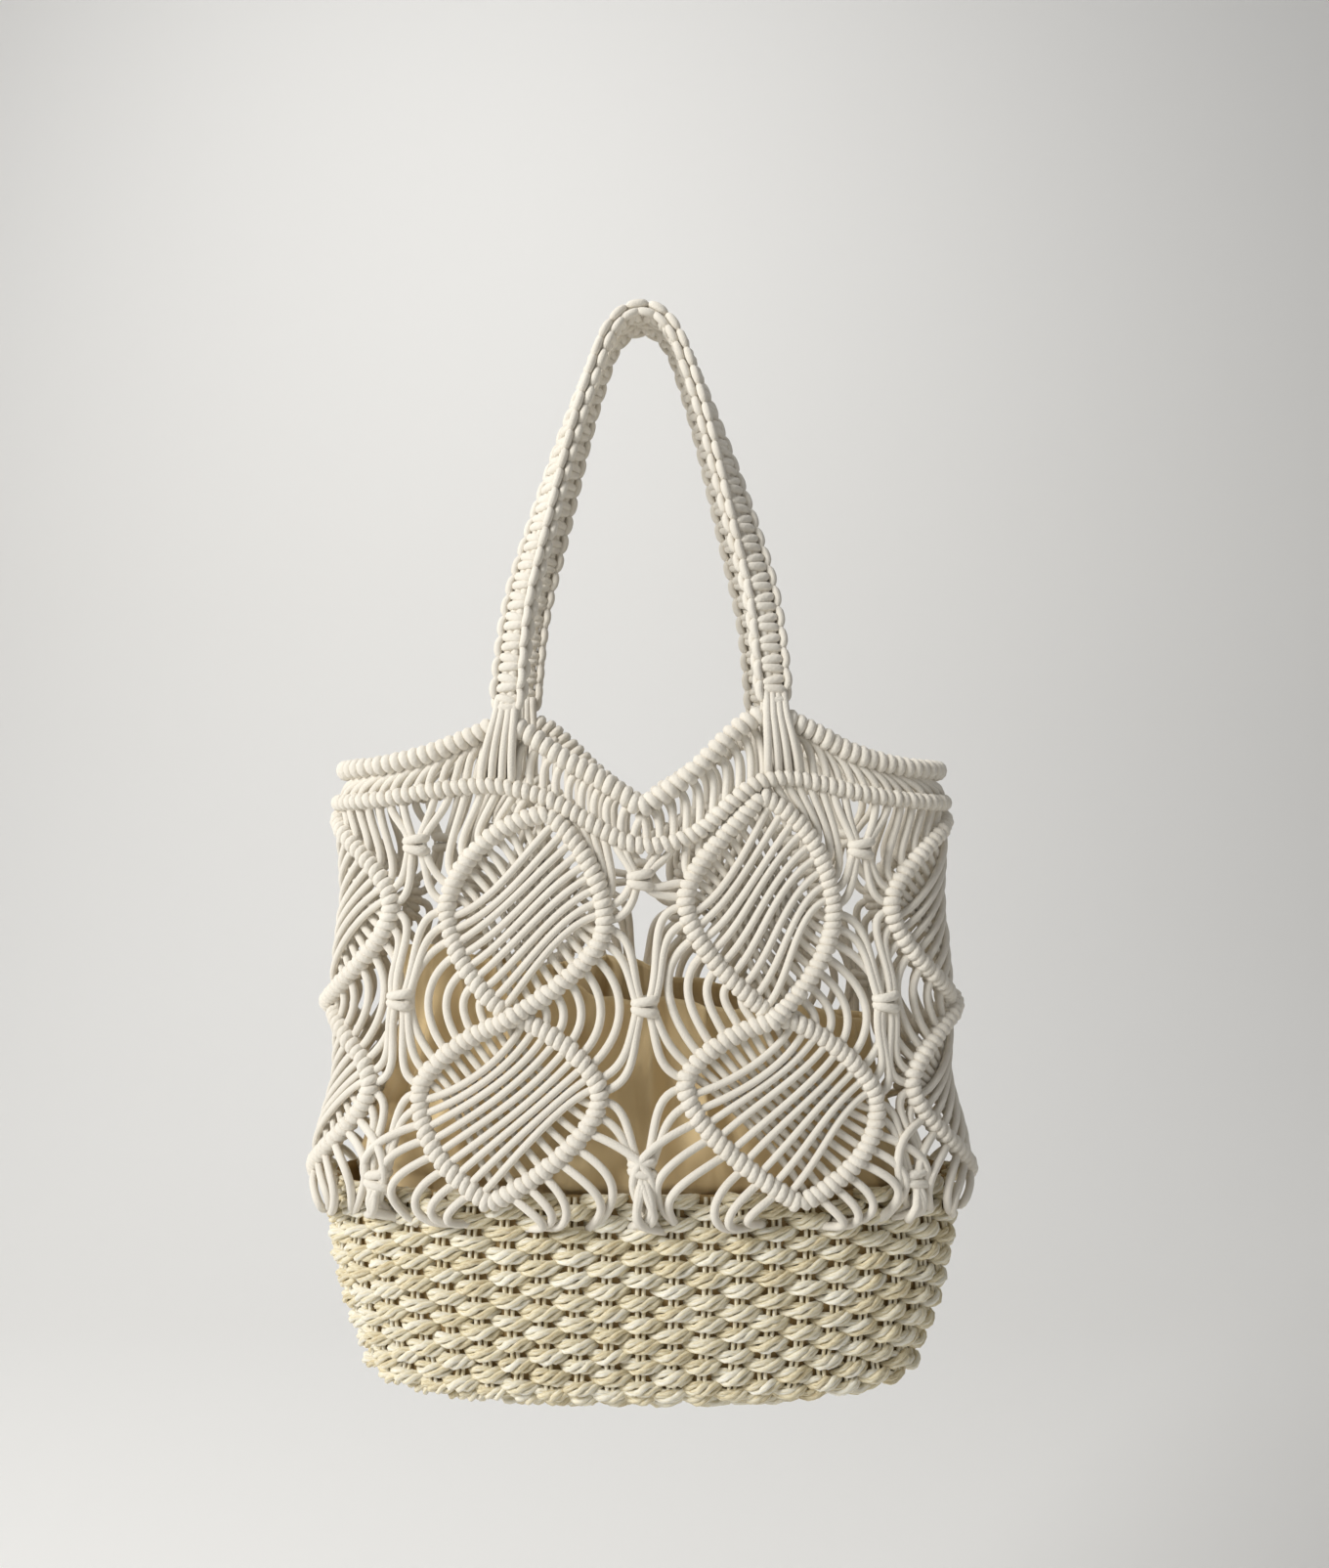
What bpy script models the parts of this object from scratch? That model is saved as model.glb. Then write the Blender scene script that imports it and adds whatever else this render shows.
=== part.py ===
"""A cotton macrame handbag with a woven straw base, hung by its two knotted straps.

The frame is +Z up, the front faces -Y, and the origin is the point under the two straps where the bag hangs.
The knotted wall is laid out flat, as (s, z): s runs round the bag in metres from the middle of the front,
to the right, and z is the height. Each piece of the wall is cut out flat and is then wrapped round the bag.
"""

import math

import bmesh
import bpy
import numpy as np
from mathutils import Vector

# Driving sizes, in metres
GAP = 0.0005
HEM_CLEARANCE = 0.0016
EDGE_CLEARANCE = 0.0012
CORD_THICKNESS = 0.0042
RIB_WIDTH = 0.009
RIB_HEIGHT = 0.009
STRAND_WIDTH = 0.007
STRAND_BORDER = 0.0015
KNOT_WIDTH = 0.011
KNOT_HEIGHT = 0.011

STRAP_WIDTH = 0.018
STRAP_THICKNESS = 0.009
STRAP_DROP = 0.2
STRAP_SPACING = 0.0193
STRAP_KNOT_PITCH = 0.017
STRAP_WAIST = 0.84

NET_HEIGHT = 0.24
MOUTH_WIDTH = 0.292
MOUTH_DEPTH = 0.08

BASKET_WIDTH = 0.322
BASKET_DEPTH = 0.104
BASKET_HEIGHT = 0.107
BASKET_WALL = 0.0045
BASKET_LAP = 0.01

LINING_HEIGHT = 0.194
LINING_WALL = 0.001
LINING_CLEARANCE = 0.0015
LINING_FOLD = 0.0035
LINING_TILT = 0.02

LINING_SQUARENESS = 2.3

# Counts
COLUMNS = 6
SIDE_POINTS = 4
LEAF_SLOTS = 4
LOOP_POINTS = 48
RIDGES_PER_COLUMN = 8
BASKET_SIDES = 36
LINING_SIDES = 28
LINING_FOLDS = 7

# Heights that follow from the sizes
RIM_Z = -STRAP_DROP
HEM_Z = RIM_Z - NET_HEIGHT
BASKET_TOP_Z = HEM_Z + BASKET_LAP
BASKET_BOTTOM_Z = BASKET_TOP_Z - BASKET_HEIGHT

# The knotted wall's inner face. drop is the share of the net's height below the rim's peaks. width and depth run
# from 0, the mouth's own, to 1, the basket's own, and past them where the wall bellies out.
WALL_COLUMNS = ("drop", "width", "depth", "squareness")
WALL_SECTIONS = (
    (0.00, -0.60, 0.00, 2.15),
    (0.15, 0.15, 0.10, 2.15),
    (0.38, 0.05, 0.20, 2.20),
    (0.58, 0.38, 0.35, 2.20),
    (0.76, 0.28, 0.62, 2.25),
    (0.90, 0.85, 0.96, 2.30),
    (1.00, 1.00, 1.00, 2.30),
)

# The basket's outer face, from its flat bottom up to its top edge, as shares of its height, width and depth
BASKET_COLUMNS = ("rise", "width", "depth", "squareness")
BASKET_SECTIONS = (
    (0.00, 0.60, 0.56, 2.6),
    (0.06, 0.79, 0.82, 2.6),
    (0.21, 0.88, 0.93, 2.5),
    (0.36, 0.925, 0.97, 2.4),
    (0.64, 0.975, 0.99, 2.3),
    (1.00, 1.00, 1.00, 2.3),
)

# How far the rim cord and the yoke cord lie below the rim's highest place, as shares of the net's height.
# away is the distance to the right from the middle of the front or back, in column pitches. The rim peaks at the
# straps' feet.
EDGE_COLUMNS = ("away", "rim", "yoke")
EDGE_LINE = (
    (-1.50, 0.112, 0.180),
    (-1.36, 0.109, 0.178),
    (-1.16, 0.098, 0.170),
    (-0.98, 0.078, 0.157),
    (-0.80, 0.046, 0.146),
    (-0.64, 0.018, 0.143),
    (-0.50, 0.046, 0.155),
    (-0.36, 0.086, 0.180),
    (-0.20, 0.124, 0.222),
    (-0.07, 0.162, 0.254),
    (0.00, 0.184, 0.262),
    (0.07, 0.168, 0.262),
    (0.17, 0.137, 0.252),
    (0.28, 0.097, 0.226),
    (0.39, 0.052, 0.180),
    (0.51, 0.014, 0.139),
    (0.64, 0.000, 0.127),
    (0.79, 0.028, 0.137),
    (0.95, 0.070, 0.155),
    (1.16, 0.100, 0.170),
    (1.36, 0.110, 0.178),
    (1.50, 0.112, 0.180),
)
STRAP_FEET = (-0.64, 0.64)

# The leaf-shaped motifs, one row for each that differs. The side column is the left one, and the columns
# opposite repeat these. top, left, bottom and right are where its tips and corners lie from the column's
# middle, in pitches, left_drop and right_drop how far down the leaf its corners are, and bulges are how far each
# side bows out, in shares of its length. lean is the angle of the crossing cords, in degrees.
LEAF_COLUMNS = ("column", "row", "top", "left", "bottom", "right", "left_drop", "right_drop",
                "upper_left", "lower_left", "lower_right", "upper_right", "lean")
LEAVES = (
    ("side", "upper", 0.00, -0.37, 0.00, 0.37, 0.46, 0.46, 0.06, 0.06, 0.06, 0.06, 40),
    ("front_left", "upper", 0.10, -0.36, -0.05, 0.345, 0.46, 0.54, 0.17, 0.08, 0.06, 0.10, 33),
    ("front_right", "upper", 0.03, -0.30, 0.06, 0.355, 0.48, 0.52, 0.03, 0.05, 0.08, 0.14, 52),
    ("side", "lower", 0.00, -0.32, 0.00, 0.32, 0.42, 0.42, 0.06, 0.06, 0.06, 0.06, 40),
    ("front_left", "lower", -0.03, -0.44, -0.08, 0.33, 0.41, 0.42, 0.08, 0.07, 0.08, 0.11, 33),
    ("front_right", "lower", 0.11, -0.31, 0.11, 0.50, 0.35, 0.47, 0.11, 0.06, 0.10, 0.09, 36),
)
COLUMN_NAMES = ("side", "front_left", "front_right")
CORNER_ROUNDING = 0.32
CROSSING_DROP = 0.605
LOWER_TIP_DROP = 0.965

# The square knots between two columns: how far round from the left column, in pitches, and their drop
KNOT_COLUMNS = ("link", "level", "round", "drop")
KNOTS = (
    ("left", "top", 0.50, 0.262), ("left", "middle", 0.46, 0.575), ("left", "bottom", 0.46, 0.930),
    ("front", "top", 0.50, 0.330), ("front", "middle", 0.52, 0.580), ("front", "bottom", 0.51, 0.890),
    ("right", "top", 0.48, 0.270), ("right", "middle", 0.56, 0.580), ("right", "bottom", 0.59, 0.930),
)
LINK_NAMES = ("left", "front", "right")
KNOT_LEVELS = ("top", "middle", "bottom")

# Half of a strap, from where it hangs to its foot, as shares of its drop and of half its span. The turns are how far
# the band is turned about its own line on its left and its right half, in quarter turns from facing forwards.
STRAP_COLUMNS = ("drop", "span", "depth", "left_turn", "right_turn")
STRAP_LINE = (
    (0.000, 0.00, 0.00, -1.00, -1.00),
    (0.012, 0.13, 0.01, -0.99, -0.99),
    (0.050, 0.24, 0.05, -0.97, -0.97),
    (0.110, 0.33, 0.12, -0.92, -0.92),
    (0.290, 0.525, 0.32, -0.78, -0.76),
    (0.560, 0.765, 0.60, -0.54, -0.42),
    (0.760, 0.92, 0.80, -0.36, -0.20),
    (1.000, 1.00, 1.00, -0.14, -0.06),
)

# The lining's outer face, from its bottom to its open top, as shares of its height and of the room inside
LINING_COLUMNS = ("rise", "width", "depth", "folds")
LINING_SECTIONS = (
    (0.00, 0.56, 0.54, 0.0),
    (0.08, 0.86, 0.86, 0.0),
    (0.30, 0.96, 0.95, 0.1),
    (0.50, 0.95, 0.94, 0.4),
    (0.75, 0.89, 0.82, 0.9),
    (1.00, 0.84, 0.68, 1.0),
)


def table_value(rows, columns, name, at):
    """A column of a table, read smoothly between its rows at a value of the first column."""
    keys = [row[0] for row in rows]
    values = [row[columns.index(name)] for row in rows]
    at = min(max(at, keys[0]), keys[-1])
    i = min(max(int(np.searchsorted(keys, at)) - 1, 0), len(keys) - 2)
    slopes = np.gradient(values, keys)
    step = keys[i + 1] - keys[i]
    t = (at - keys[i]) / step
    rise = values[i + 1] - values[i]
    start, end = slopes[i] * step, slopes[i + 1] * step
    return values[i] + t * start + t * t * (3 * rise - 2 * start - end) + t**3 * (start + end - 2 * rise)


def section_outline(half_width, half_depth, squareness, points=240):
    """A rounded section as points from its left end round the front, and how far round each point is."""
    angle = np.linspace(0, 2 * math.pi, points + 1)
    power = 2 / squareness
    x = -half_width * np.sign(np.cos(angle)) * np.abs(np.cos(angle)) ** power
    y = -half_depth * np.sign(np.sin(angle)) * np.abs(np.sin(angle)) ** power
    steps = np.hypot(np.diff(x), np.diff(y))
    return x, y, np.concatenate([[0], np.cumsum(steps)])


def wall_size(z):
    """Half width, half depth and squareness of the knotted wall's inner face at a height."""
    drop = (RIM_Z - z) / NET_HEIGHT
    width = table_value(WALL_SECTIONS, WALL_COLUMNS, "width", drop)
    depth = table_value(WALL_SECTIONS, WALL_COLUMNS, "depth", drop)
    over_basket = 2 * HEM_CLEARANCE
    return (
        (MOUTH_WIDTH + (BASKET_WIDTH + over_basket - MOUTH_WIDTH) * width) / 2,
        (MOUTH_DEPTH + (BASKET_DEPTH + over_basket - MOUTH_DEPTH) * depth) / 2,
        table_value(WALL_SECTIONS, WALL_COLUMNS, "squareness", drop),
    )


def level(drop):
    """The height at a share of the net below the rim's peaks."""
    return RIM_Z - drop * NET_HEIGHT


PITCH = section_outline(*wall_size(level(0.5)))[2][-1] / COLUMNS


def wall_point(s, z, out=0.0):
    """The point of the knotted wall at a flat place, a distance out from its inner face."""
    x, y, along = section_outline(*wall_size(z))
    share = (s / PITCH / COLUMNS + 0.25) % 1.0
    at = share * along[-1]
    px, py = np.interp(at, along, x), np.interp(at, along, y)
    ahead, behind = (at + 0.002) % along[-1], (at - 0.002) % along[-1]
    tangent = Vector((np.interp(ahead, along, x) - np.interp(behind, along, x),
                      np.interp(ahead, along, y) - np.interp(behind, along, y), 0)).normalized()
    return Vector((px, py, z)) + Vector((tangent.y, -tangent.x, 0)) * out


def edge_level(name, s):
    """The height of the rim or yoke cord at a place round the bag."""
    half_turn = COLUMNS / 2
    away = (s / PITCH + half_turn / 2) % half_turn - half_turn / 2
    return level(table_value(EDGE_LINE, EDGE_COLUMNS, name, away))


def under_yoke(s):
    """The height just under the yoke cord at a place round the bag, where the pieces below it may start."""
    slope = (edge_level("yoke", s + GAP) - edge_level("yoke", s - GAP)) / (2 * GAP)
    return edge_level("yoke", s) - (RIB_HEIGHT / 2 + EDGE_CLEARANCE) * math.hypot(1, slope)


def moved_out(points, distance, closed=True):
    """Each point of a flat line moved to its right by a distance, mitred at the corners."""
    count = len(points)
    moved = []
    for i, (s, z) in enumerate(points):
        before = points[i - 1] if closed or i else points[i]
        after = points[(i + 1) % count] if closed or i < count - 1 else points[i]
        normals = []
        for a, b in ((before, (s, z)), ((s, z), after)):
            length = math.hypot(b[0] - a[0], b[1] - a[1])
            if length > 0:
                normals.append(((b[1] - a[1]) / length, -(b[0] - a[0]) / length))
        n = (sum(m[0] for m in normals), sum(m[1] for m in normals))
        size = math.hypot(*n)
        n = (n[0] / size, n[1] / size)
        reach = distance / max(n[0] * normals[0][0] + n[1] * normals[0][1], 0.74)
        moved.append((s + n[0] * reach, z + n[1] * reach))
    return moved


def leaf_row(column, row):
    """The table row of a leaf, as a dictionary; a column past the front repeats the one opposite."""
    for values in LEAVES:
        found = dict(zip(LEAF_COLUMNS, values))
        if (found["column"], found["row"]) == (COLUMN_NAMES[column % (COLUMNS // 2)], row):
            return found


def column_middle(column):
    """Where a column's middle lies round the bag. Columns 1 and 2 are on the front."""
    return (column - COLUMNS / 4) * PITCH


TIP_REACH = RIB_WIDTH / 2 / 0.74 + GAP / 2


def leaf_side(tip, corner, bulge):
    """The points of one side of a leaf, from its pointed tip to its upright corner."""
    ds, dz = corner[0] - tip[0], corner[1] - tip[1]
    outward = math.copysign(1, ds)
    first = (tip[0] + ds / 3 + outward * abs(dz) * bulge * 1.5,
             tip[1] + dz / 3 - math.copysign(1, dz) * abs(ds) * bulge * 1.5)
    second = (corner[0], corner[1] - dz * CORNER_ROUNDING)
    points = []
    for i in range(SIDE_POINTS + 1):
        t = i / SIDE_POINTS
        weights = ((1 - t) ** 3, 3 * t * (1 - t) ** 2, 3 * t * t * (1 - t), t**3)
        points.append(tuple(sum(w * p[k] for w, p in zip(weights, (tip, first, second, corner))) for k in (0, 1)))
    return points


def leaf_outline(column, row):
    """The middle line of a leaf's rib, flat, from its top tip round by the left."""
    leaf = leaf_row(column, row)
    middle = column_middle(column)
    at = {name: middle + leaf[name] * PITCH for name in ("top", "left", "bottom", "right")}
    if row == "upper":
        top = under_yoke(at["top"]) + EDGE_CLEARANCE - 2 * TIP_REACH + RIB_WIDTH / 2
        bottom = level(CROSSING_DROP) + TIP_REACH
    else:
        top = level(CROSSING_DROP) - TIP_REACH
        bottom = level(LOWER_TIP_DROP)
    upper, lower = (at["top"], top), (at["bottom"], bottom)
    left = (at["left"], top + (bottom - top) * leaf["left_drop"])
    right = (at["right"], top + (bottom - top) * leaf["right_drop"])
    return (
        leaf_side(upper, left, leaf["upper_left"])[:-1]
        + leaf_side(lower, left, leaf["lower_left"])[:0:-1]
        + leaf_side(lower, right, leaf["lower_right"])[:-1]
        + leaf_side(upper, right, leaf["upper_right"])[:0:-1]
    )


def new_material(name, colour, roughness):
    material = bpy.data.materials.new(name)
    material.use_nodes = True
    shader = material.node_tree.nodes["Principled BSDF"]
    shader.inputs["Base Color"].default_value = (*colour, 1)
    shader.inputs["Roughness"].default_value = roughness
    shader.inputs["Metallic"].default_value = 0
    return material


def new_object(name, mesh, material):
    made = bpy.data.objects.new(name, mesh)
    made.data.materials.append(material)
    bag.objects.link(made)
    return made


def thicken(made, thickness, outward, group=""):
    solidify = made.modifiers.new("thickness", "SOLIDIFY")
    solidify.thickness = thickness
    solidify.offset = 1 if outward else -1
    solidify.vertex_group = group


def flat_piece():
    """An empty flat mesh whose points carry their height, as a share of the rib's."""
    bm = bmesh.new()
    return bm, bm.verts.layers.float.new("lift")


def cut_upright(bm, places):
    """Cuts a flat mesh along upright lines, so that it can follow a tight bend."""
    for s in places:
        bmesh.ops.bisect_plane(bm, geom=bm.verts[:] + bm.edges[:] + bm.faces[:],
                               plane_co=(s, 0, 0), plane_no=(1, 0, 0), dist=1e-6)


def bend_lines(low, high):
    """Where a flat piece from low to high needs upright cuts, closest where the wall's side ends are."""
    quarter = COLUMNS / 4 * PITCH
    places = []
    for end in (-quarter, quarter, 3 * quarter):
        for share in (0.0, 0.12, 0.32):
            places += {end - share * PITCH, end + share * PITCH}
    return sorted(s for s in places if low + GAP < s < high - GAP)


def wrap(name, bm, lift, material, bends=True):
    """Wraps a flat mesh round the bag and gives each of its points its own thickness."""
    if bends:
        cut_upright(bm, bend_lines(min(v.co.x for v in bm.verts), max(v.co.x for v in bm.verts)))
    shares = [v[lift] for v in bm.verts]
    for v in bm.verts:
        v.co = wall_point(v.co.x, v.co.z)
    mesh = bpy.data.meshes.new(name)
    bm.to_mesh(mesh)
    bm.free()
    made = new_object(name, mesh, material)
    group = made.vertex_groups.new(name="lift")
    for i, share in enumerate(shares):
        group.add([i], share, "REPLACE")
    thicken(made, RIB_HEIGHT, True, "lift")
    return made


# A leaf: a raised rib of hitched cord round a field of slanting cords with slots between them
def make_leaf(column, row):
    bm, lift = flat_piece()
    fill = bm.faces.layers.int.new("fill")
    outline = leaf_outline(column, row)
    low = CORD_THICKNESS / RIB_HEIGHT
    loops = []
    for share, height in ((1.0, 0.8), (0.1, 1.0), (-1.0, low)):
        points = moved_out(outline, -share * RIB_WIDTH / 2)
        loop = [bm.verts.new((s, 0, z)) for s, z in points]
        for v in loop:
            v[lift] = height
        loops.append(loop)
    loops.reverse()
    count = len(outline)
    for outer, inner in zip(loops, loops[1:]):
        for i in range(count):
            j = (i + 1) % count
            bm.faces.new((outer[i], outer[j], inner[j], inner[i]))
    field = bm.faces.new(loops[-1])
    field[fill] = 1
    cut_slots(bm, fill, leaf_row(column, row)["lean"])
    return wrap(f"leaf_{column}_{row}", bm, lift, cotton, bends=column % (COLUMNS // 2) == 0)


def cut_slots(bm, fill, lean):
    """Parts a leaf's field into slanting bars, by taking out the strips between them."""
    angle = math.radians(lean)
    across = Vector((-math.sin(angle), 0, math.cos(angle)))
    inside = {v for f in bm.faces if f[fill] for v in f.verts}
    reaches = [v.co.dot(across) for v in inside]
    low, high = min(reaches), max(reaches)
    slot = CORD_THICKNESS
    step = (high - low) / (LEAF_SLOTS + 1)
    slots = [(low + (i + 1) * step - slot / 2, low + (i + 1) * step + slot / 2) for i in range(LEAF_SLOTS)]
    for edge in [e for pair in slots for e in pair]:
        faces = [f for f in bm.faces if f[fill]]
        edges = {e for f in faces for e in f.edges}
        verts = {v for f in faces for v in f.verts}
        bmesh.ops.bisect_plane(bm, geom=list(verts) + list(edges) + faces, plane_co=across * edge,
                               plane_no=across, dist=1e-6)
    gaps = [f for f in bm.faces if f[fill]
            and any(a < f.calc_center_median().dot(across) < b for a, b in slots)]
    bmesh.ops.delete(bm, geom=gaps, context="FACES_ONLY")


def drawn_in(polygon, insets):
    """A flat polygon, anticlockwise, with each of its edges moved inwards by its own inset."""
    count = len(polygon)
    area = sum(a[0] * b[1] - b[0] * a[1] for a, b in zip(polygon, polygon[1:] + polygon[:1])) / 2
    around = sum(math.dist(a, b) for a, b in zip(polygon, polygon[1:] + polygon[:1]))
    most = 0.75 * area / around
    inner = []
    for i in range(count):
        lines = []
        for k in (i - 1, i):
            a, b = polygon[k % count], polygon[(k + 1) % count]
            length = math.dist(a, b)
            inset = min(insets[k % count], most)
            lines.append(((b[0] - a[0]) / length, (b[1] - a[1]) / length, inset))
        (ux, uz, d), (vx, vz, e) = lines
        cross = ux * vz - uz * vx
        if abs(cross) < 0.25:
            n = (-(uz + vz) / 2, (ux + vx) / 2)
            size = math.hypot(*n)
            reach = (d + e) / 2 / size
            inner.append((polygon[i][0] + n[0] / size * reach, polygon[i][1] + n[1] / size * reach))
            continue
        along = (e - d * (ux * vx + uz * vz)) / cross
        inner.append((polygon[i][0] - uz * d - ux * along, polygon[i][1] + ux * d - uz * along))
    return inner


def knot_place(link, step):
    """Where a square knot lies, flat. Links past the front repeat the ones opposite."""
    for values in KNOTS:
        found = dict(zip(KNOT_COLUMNS, values))
        if (found["link"], found["level"]) == (LINK_NAMES[link % (COLUMNS // 2)], step):
            return column_middle(link) + found["round"] * PITCH, level(found["drop"])


def link_points(link):
    """Every named point of the net between two columns: the leaves' edges, the yoke, the hem and the knots."""
    points = {}
    lower_end = 2 * SIDE_POINTS
    for mark, row in (("T", "upper"), ("B", "lower")):
        left = moved_out(leaf_outline(link, row), RIB_WIDTH / 2 + GAP)
        right = moved_out(leaf_outline(link + 1, row), RIB_WIDTH / 2 + GAP)
        for i in range(lower_end + 1):
            points[f"{mark}L{i}"] = left[(2 * lower_end - i) % len(left)]
            points[f"{mark}R{i}"] = right[i]
    for side in ("L", "R"):
        middle = column_middle(link + (side == "R"))
        away = GAP if side == "L" else -GAP
        for name in (f"T{side}0", f"T{side}{lower_end}", f"B{side}0", f"B{side}{lower_end}"):
            s, z = points[name]
            points[name] = (s + away, z)
        points[f"H{side}0"] = (middle + away + leaf_row(link + (side == "R"), "lower")["bottom"] * PITCH, HEM_Z)
    knots = [knot_place(link, step) for step in KNOT_LEVELS]
    for n, (s, z) in enumerate(knots, 1):
        points[f"K{n}t"], points[f"K{n}b"] = (s, z + KNOT_HEIGHT / 2), (s, z - KNOT_HEIGHT / 2)
        points[f"K{n}l"], points[f"K{n}r"] = (s - KNOT_WIDTH / 2, z), (s + KNOT_WIDTH / 2, z)
    hem_middle = (knots[2][0], HEM_Z)
    points["HM"] = hem_middle
    for side in ("L", "R"):
        end = points[f"H{side}0"]
        points[f"H{side}1"] = ((end[0] + hem_middle[0]) / 2, HEM_Z)
    top_left, top_right = points["TL0"][0], points["TR0"][0]
    ends = {"YL0": top_left, "YR0": top_right, "YL2": knots[0][0] - KNOT_WIDTH, "YR2": knots[0][0] + KNOT_WIDTH,
            "YM": knots[0][0]}
    ends["YL1"] = (ends["YL0"] + ends["YL2"]) / 2
    ends["YR1"] = (ends["YR0"] + ends["YR2"]) / 2
    for name, s in ends.items():
        points[name] = (s, under_yoke(s))
    for side in ("L", "R"):
        tip = points[f"T{side}{lower_end}"]
        other = knots[1]
        for name, share in ((f"M{side}", 0.62), (f"N{side}", 0.34)):
            points[name] = (tip[0] + (other[0] - tip[0]) * share, (tip[1] + points[f"B{side}0"][1]) / 2)
    return points


# The cells of a link net, each drawn anticlockwise for its left half; the right half mirrors them.
LINK_GAPS = (
    ("YL2", "YL1", "TL2", "TL3", "K1b", "K1l", "K1t"),
    ("TL5", "TL6", "ML", "BL2", "BL3", "K2b", "K2l", "K2t"),
    ("TL6", "TL7", "NL", "BL1", "BL2", "ML"),
    ("BL5", "BL6", "BL7", "HL1", "HM", "K3b", "K3l", "K3t"),
    ("BL7", "BL8", "HL0", "HL1"),
)
LINK_FILLED = (
    ("YL1", "YL0", "TL0", "TL1", "TL2"),
    ("TL7", "TL8", "BL0", "BL1", "NL"),
)
LINK_MIDDLE_GAPS = (
    ("K1b", "TL3", "TL4", "TL5", "K2t", "TR5", "TR4", "TR3"),
    ("K2b", "BL3", "BL4", "BL5", "K3t", "BR5", "BR4", "BR3"),
)
LINK_MIDDLE_FILLED = (
    ("YM", "YL2", "K1t"),
    ("YR2", "YM", "K1t"),
    ("K1t", "K1l", "K1b", "K1r"),
    ("K2t", "K2l", "K2b", "K2r"),
    ("K3t", "K3l", "K3b", "K3r"),
)


def mirrored(cell):
    """The same cell on the right half, still anticlockwise."""
    swap = {"L": "R", "l": "r"}
    return tuple("".join(swap.get(letter, letter) for letter in name) for name in cell)[::-1]


def edge_inset(a, b):
    """How far a gap is drawn in from one of its edges: half a strand, or less beside a rib or a knot."""
    if a[0] == "K" and b[0] == "K":
        return STRAND_BORDER / 2
    outer = "TBYH"
    return STRAND_BORDER if a[0] in outer and b[0] in outer else STRAND_WIDTH / 2


# The net that links two columns: knotted cords with open gaps between them
def make_link(link):
    bm, lift = flat_piece()
    places = link_points(link)
    low = CORD_THICKNESS / RIB_HEIGHT
    verts = {}
    for name, (s, z) in places.items():
        verts[name] = bm.verts.new((s, 0, z))
        verts[name][lift] = 1.0 if name[0] == "K" else low
    gaps = LINK_GAPS + tuple(mirrored(cell) for cell in LINK_GAPS) + LINK_MIDDLE_GAPS
    filled = LINK_FILLED + tuple(mirrored(cell) for cell in LINK_FILLED) + LINK_MIDDLE_FILLED
    for cell in filled:
        bm.faces.new([verts[name] for name in cell])
    for cell in gaps:
        polygon = [places[name] for name in cell]
        insets = [edge_inset(a, b) for a, b in zip(cell, cell[1:] + cell[:1])]
        inner = [bm.verts.new((s, 0, z)) for s, z in drawn_in(polygon, insets)]
        for v in inner:
            v[lift] = low
        for i, name in enumerate(cell):
            j = (i + 1) % len(cell)
            bm.faces.new((verts[name], verts[cell[j]], inner[j], inner[i]))
    bmesh.ops.delete(bm, geom=[v for v in bm.verts if not v.link_faces], context="VERTS")
    return wrap(f"link_{link}", bm, lift, cotton, bends=link % (COLUMNS // 2) != 1)


# The yoke: upright cords side by side between the rim cord and the yoke cord, on the front or the back
def make_yoke(name, middle):
    bm, lift = flat_piece()
    half = COLUMNS / 4 * PITCH - GAP
    ridges = int(RIDGES_PER_COLUMN * COLUMNS / 2)
    places = [middle - half + 2 * half * i / (2 * ridges) for i in range(2 * ridges + 1)]
    away = RIB_HEIGHT / 2 + EDGE_CLEARANCE
    top = moved_out([(s, edge_level("rim", s)) for s in places], away, closed=False)
    bottom = moved_out([(s, edge_level("yoke", s)) for s in places], -away, closed=False)
    low, high = 0.4 * CORD_THICKNESS / RIB_HEIGHT, CORD_THICKNESS / RIB_HEIGHT
    rows = []
    for points in (top, bottom):
        row = [bm.verts.new((min(max(s, places[0]), places[-1]), 0, z)) for s, z in points]
        for i, v in enumerate(row):
            v[lift] = high if i % 2 else low
        rows.append(row)
    for i in range(len(places) - 1):
        bm.faces.new((rows[0][i], rows[1][i], rows[1][i + 1], rows[0][i + 1]))
    return wrap(name, bm, lift, cotton, bends=False)


# The rim cord and the yoke cord: closed rounds of hitched cord
def make_round(name, line):
    curve = bpy.data.curves.new(name, "CURVE")
    curve.dimensions = "3D"
    curve.bevel_depth = RIB_HEIGHT / 2
    curve.bevel_resolution = 1
    spline = curve.splines.new("POLY")
    spline.points.add(LOOP_POINTS - 1)
    spline.use_cyclic_u = True
    for i, point in enumerate(spline.points):
        s = COLUMNS * PITCH * i / LOOP_POINTS
        point.co = (*wall_point(s, edge_level(line, s), RIB_HEIGHT / 2), 1)
    return new_object(name, curve, cotton)


def smooth_path(points, spacing):
    """Points a set distance apart on a smooth curve through the given ones."""
    points = [np.array(p, float) for p in points]
    dense = []
    for i in range(len(points) - 1):
        before, after = points[max(i - 1, 0)], points[min(i + 2, len(points) - 1)]
        a, b = points[i], points[i + 1]
        start, end = (b - before) / 2, (after - a) / 2
        for t in np.linspace(0, 1, 12, endpoint=False):
            dense.append(a + t * start + t * t * (3 * (b - a) - 2 * start - end)
                         + t**3 * (start + end - 2 * (b - a)))
    dense.append(points[-1])
    dense = np.array(dense)
    along = np.concatenate([[0], np.cumsum(np.linalg.norm(np.diff(dense[:, :3], axis=0), axis=1))])
    count = 2 * max(int(round(along[-1] / spacing / 2)), 2)
    at = np.linspace(0, along[-1], count + 1)
    return np.stack([np.interp(at, along, dense[:, k]) for k in range(dense.shape[1])], axis=1)


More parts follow.
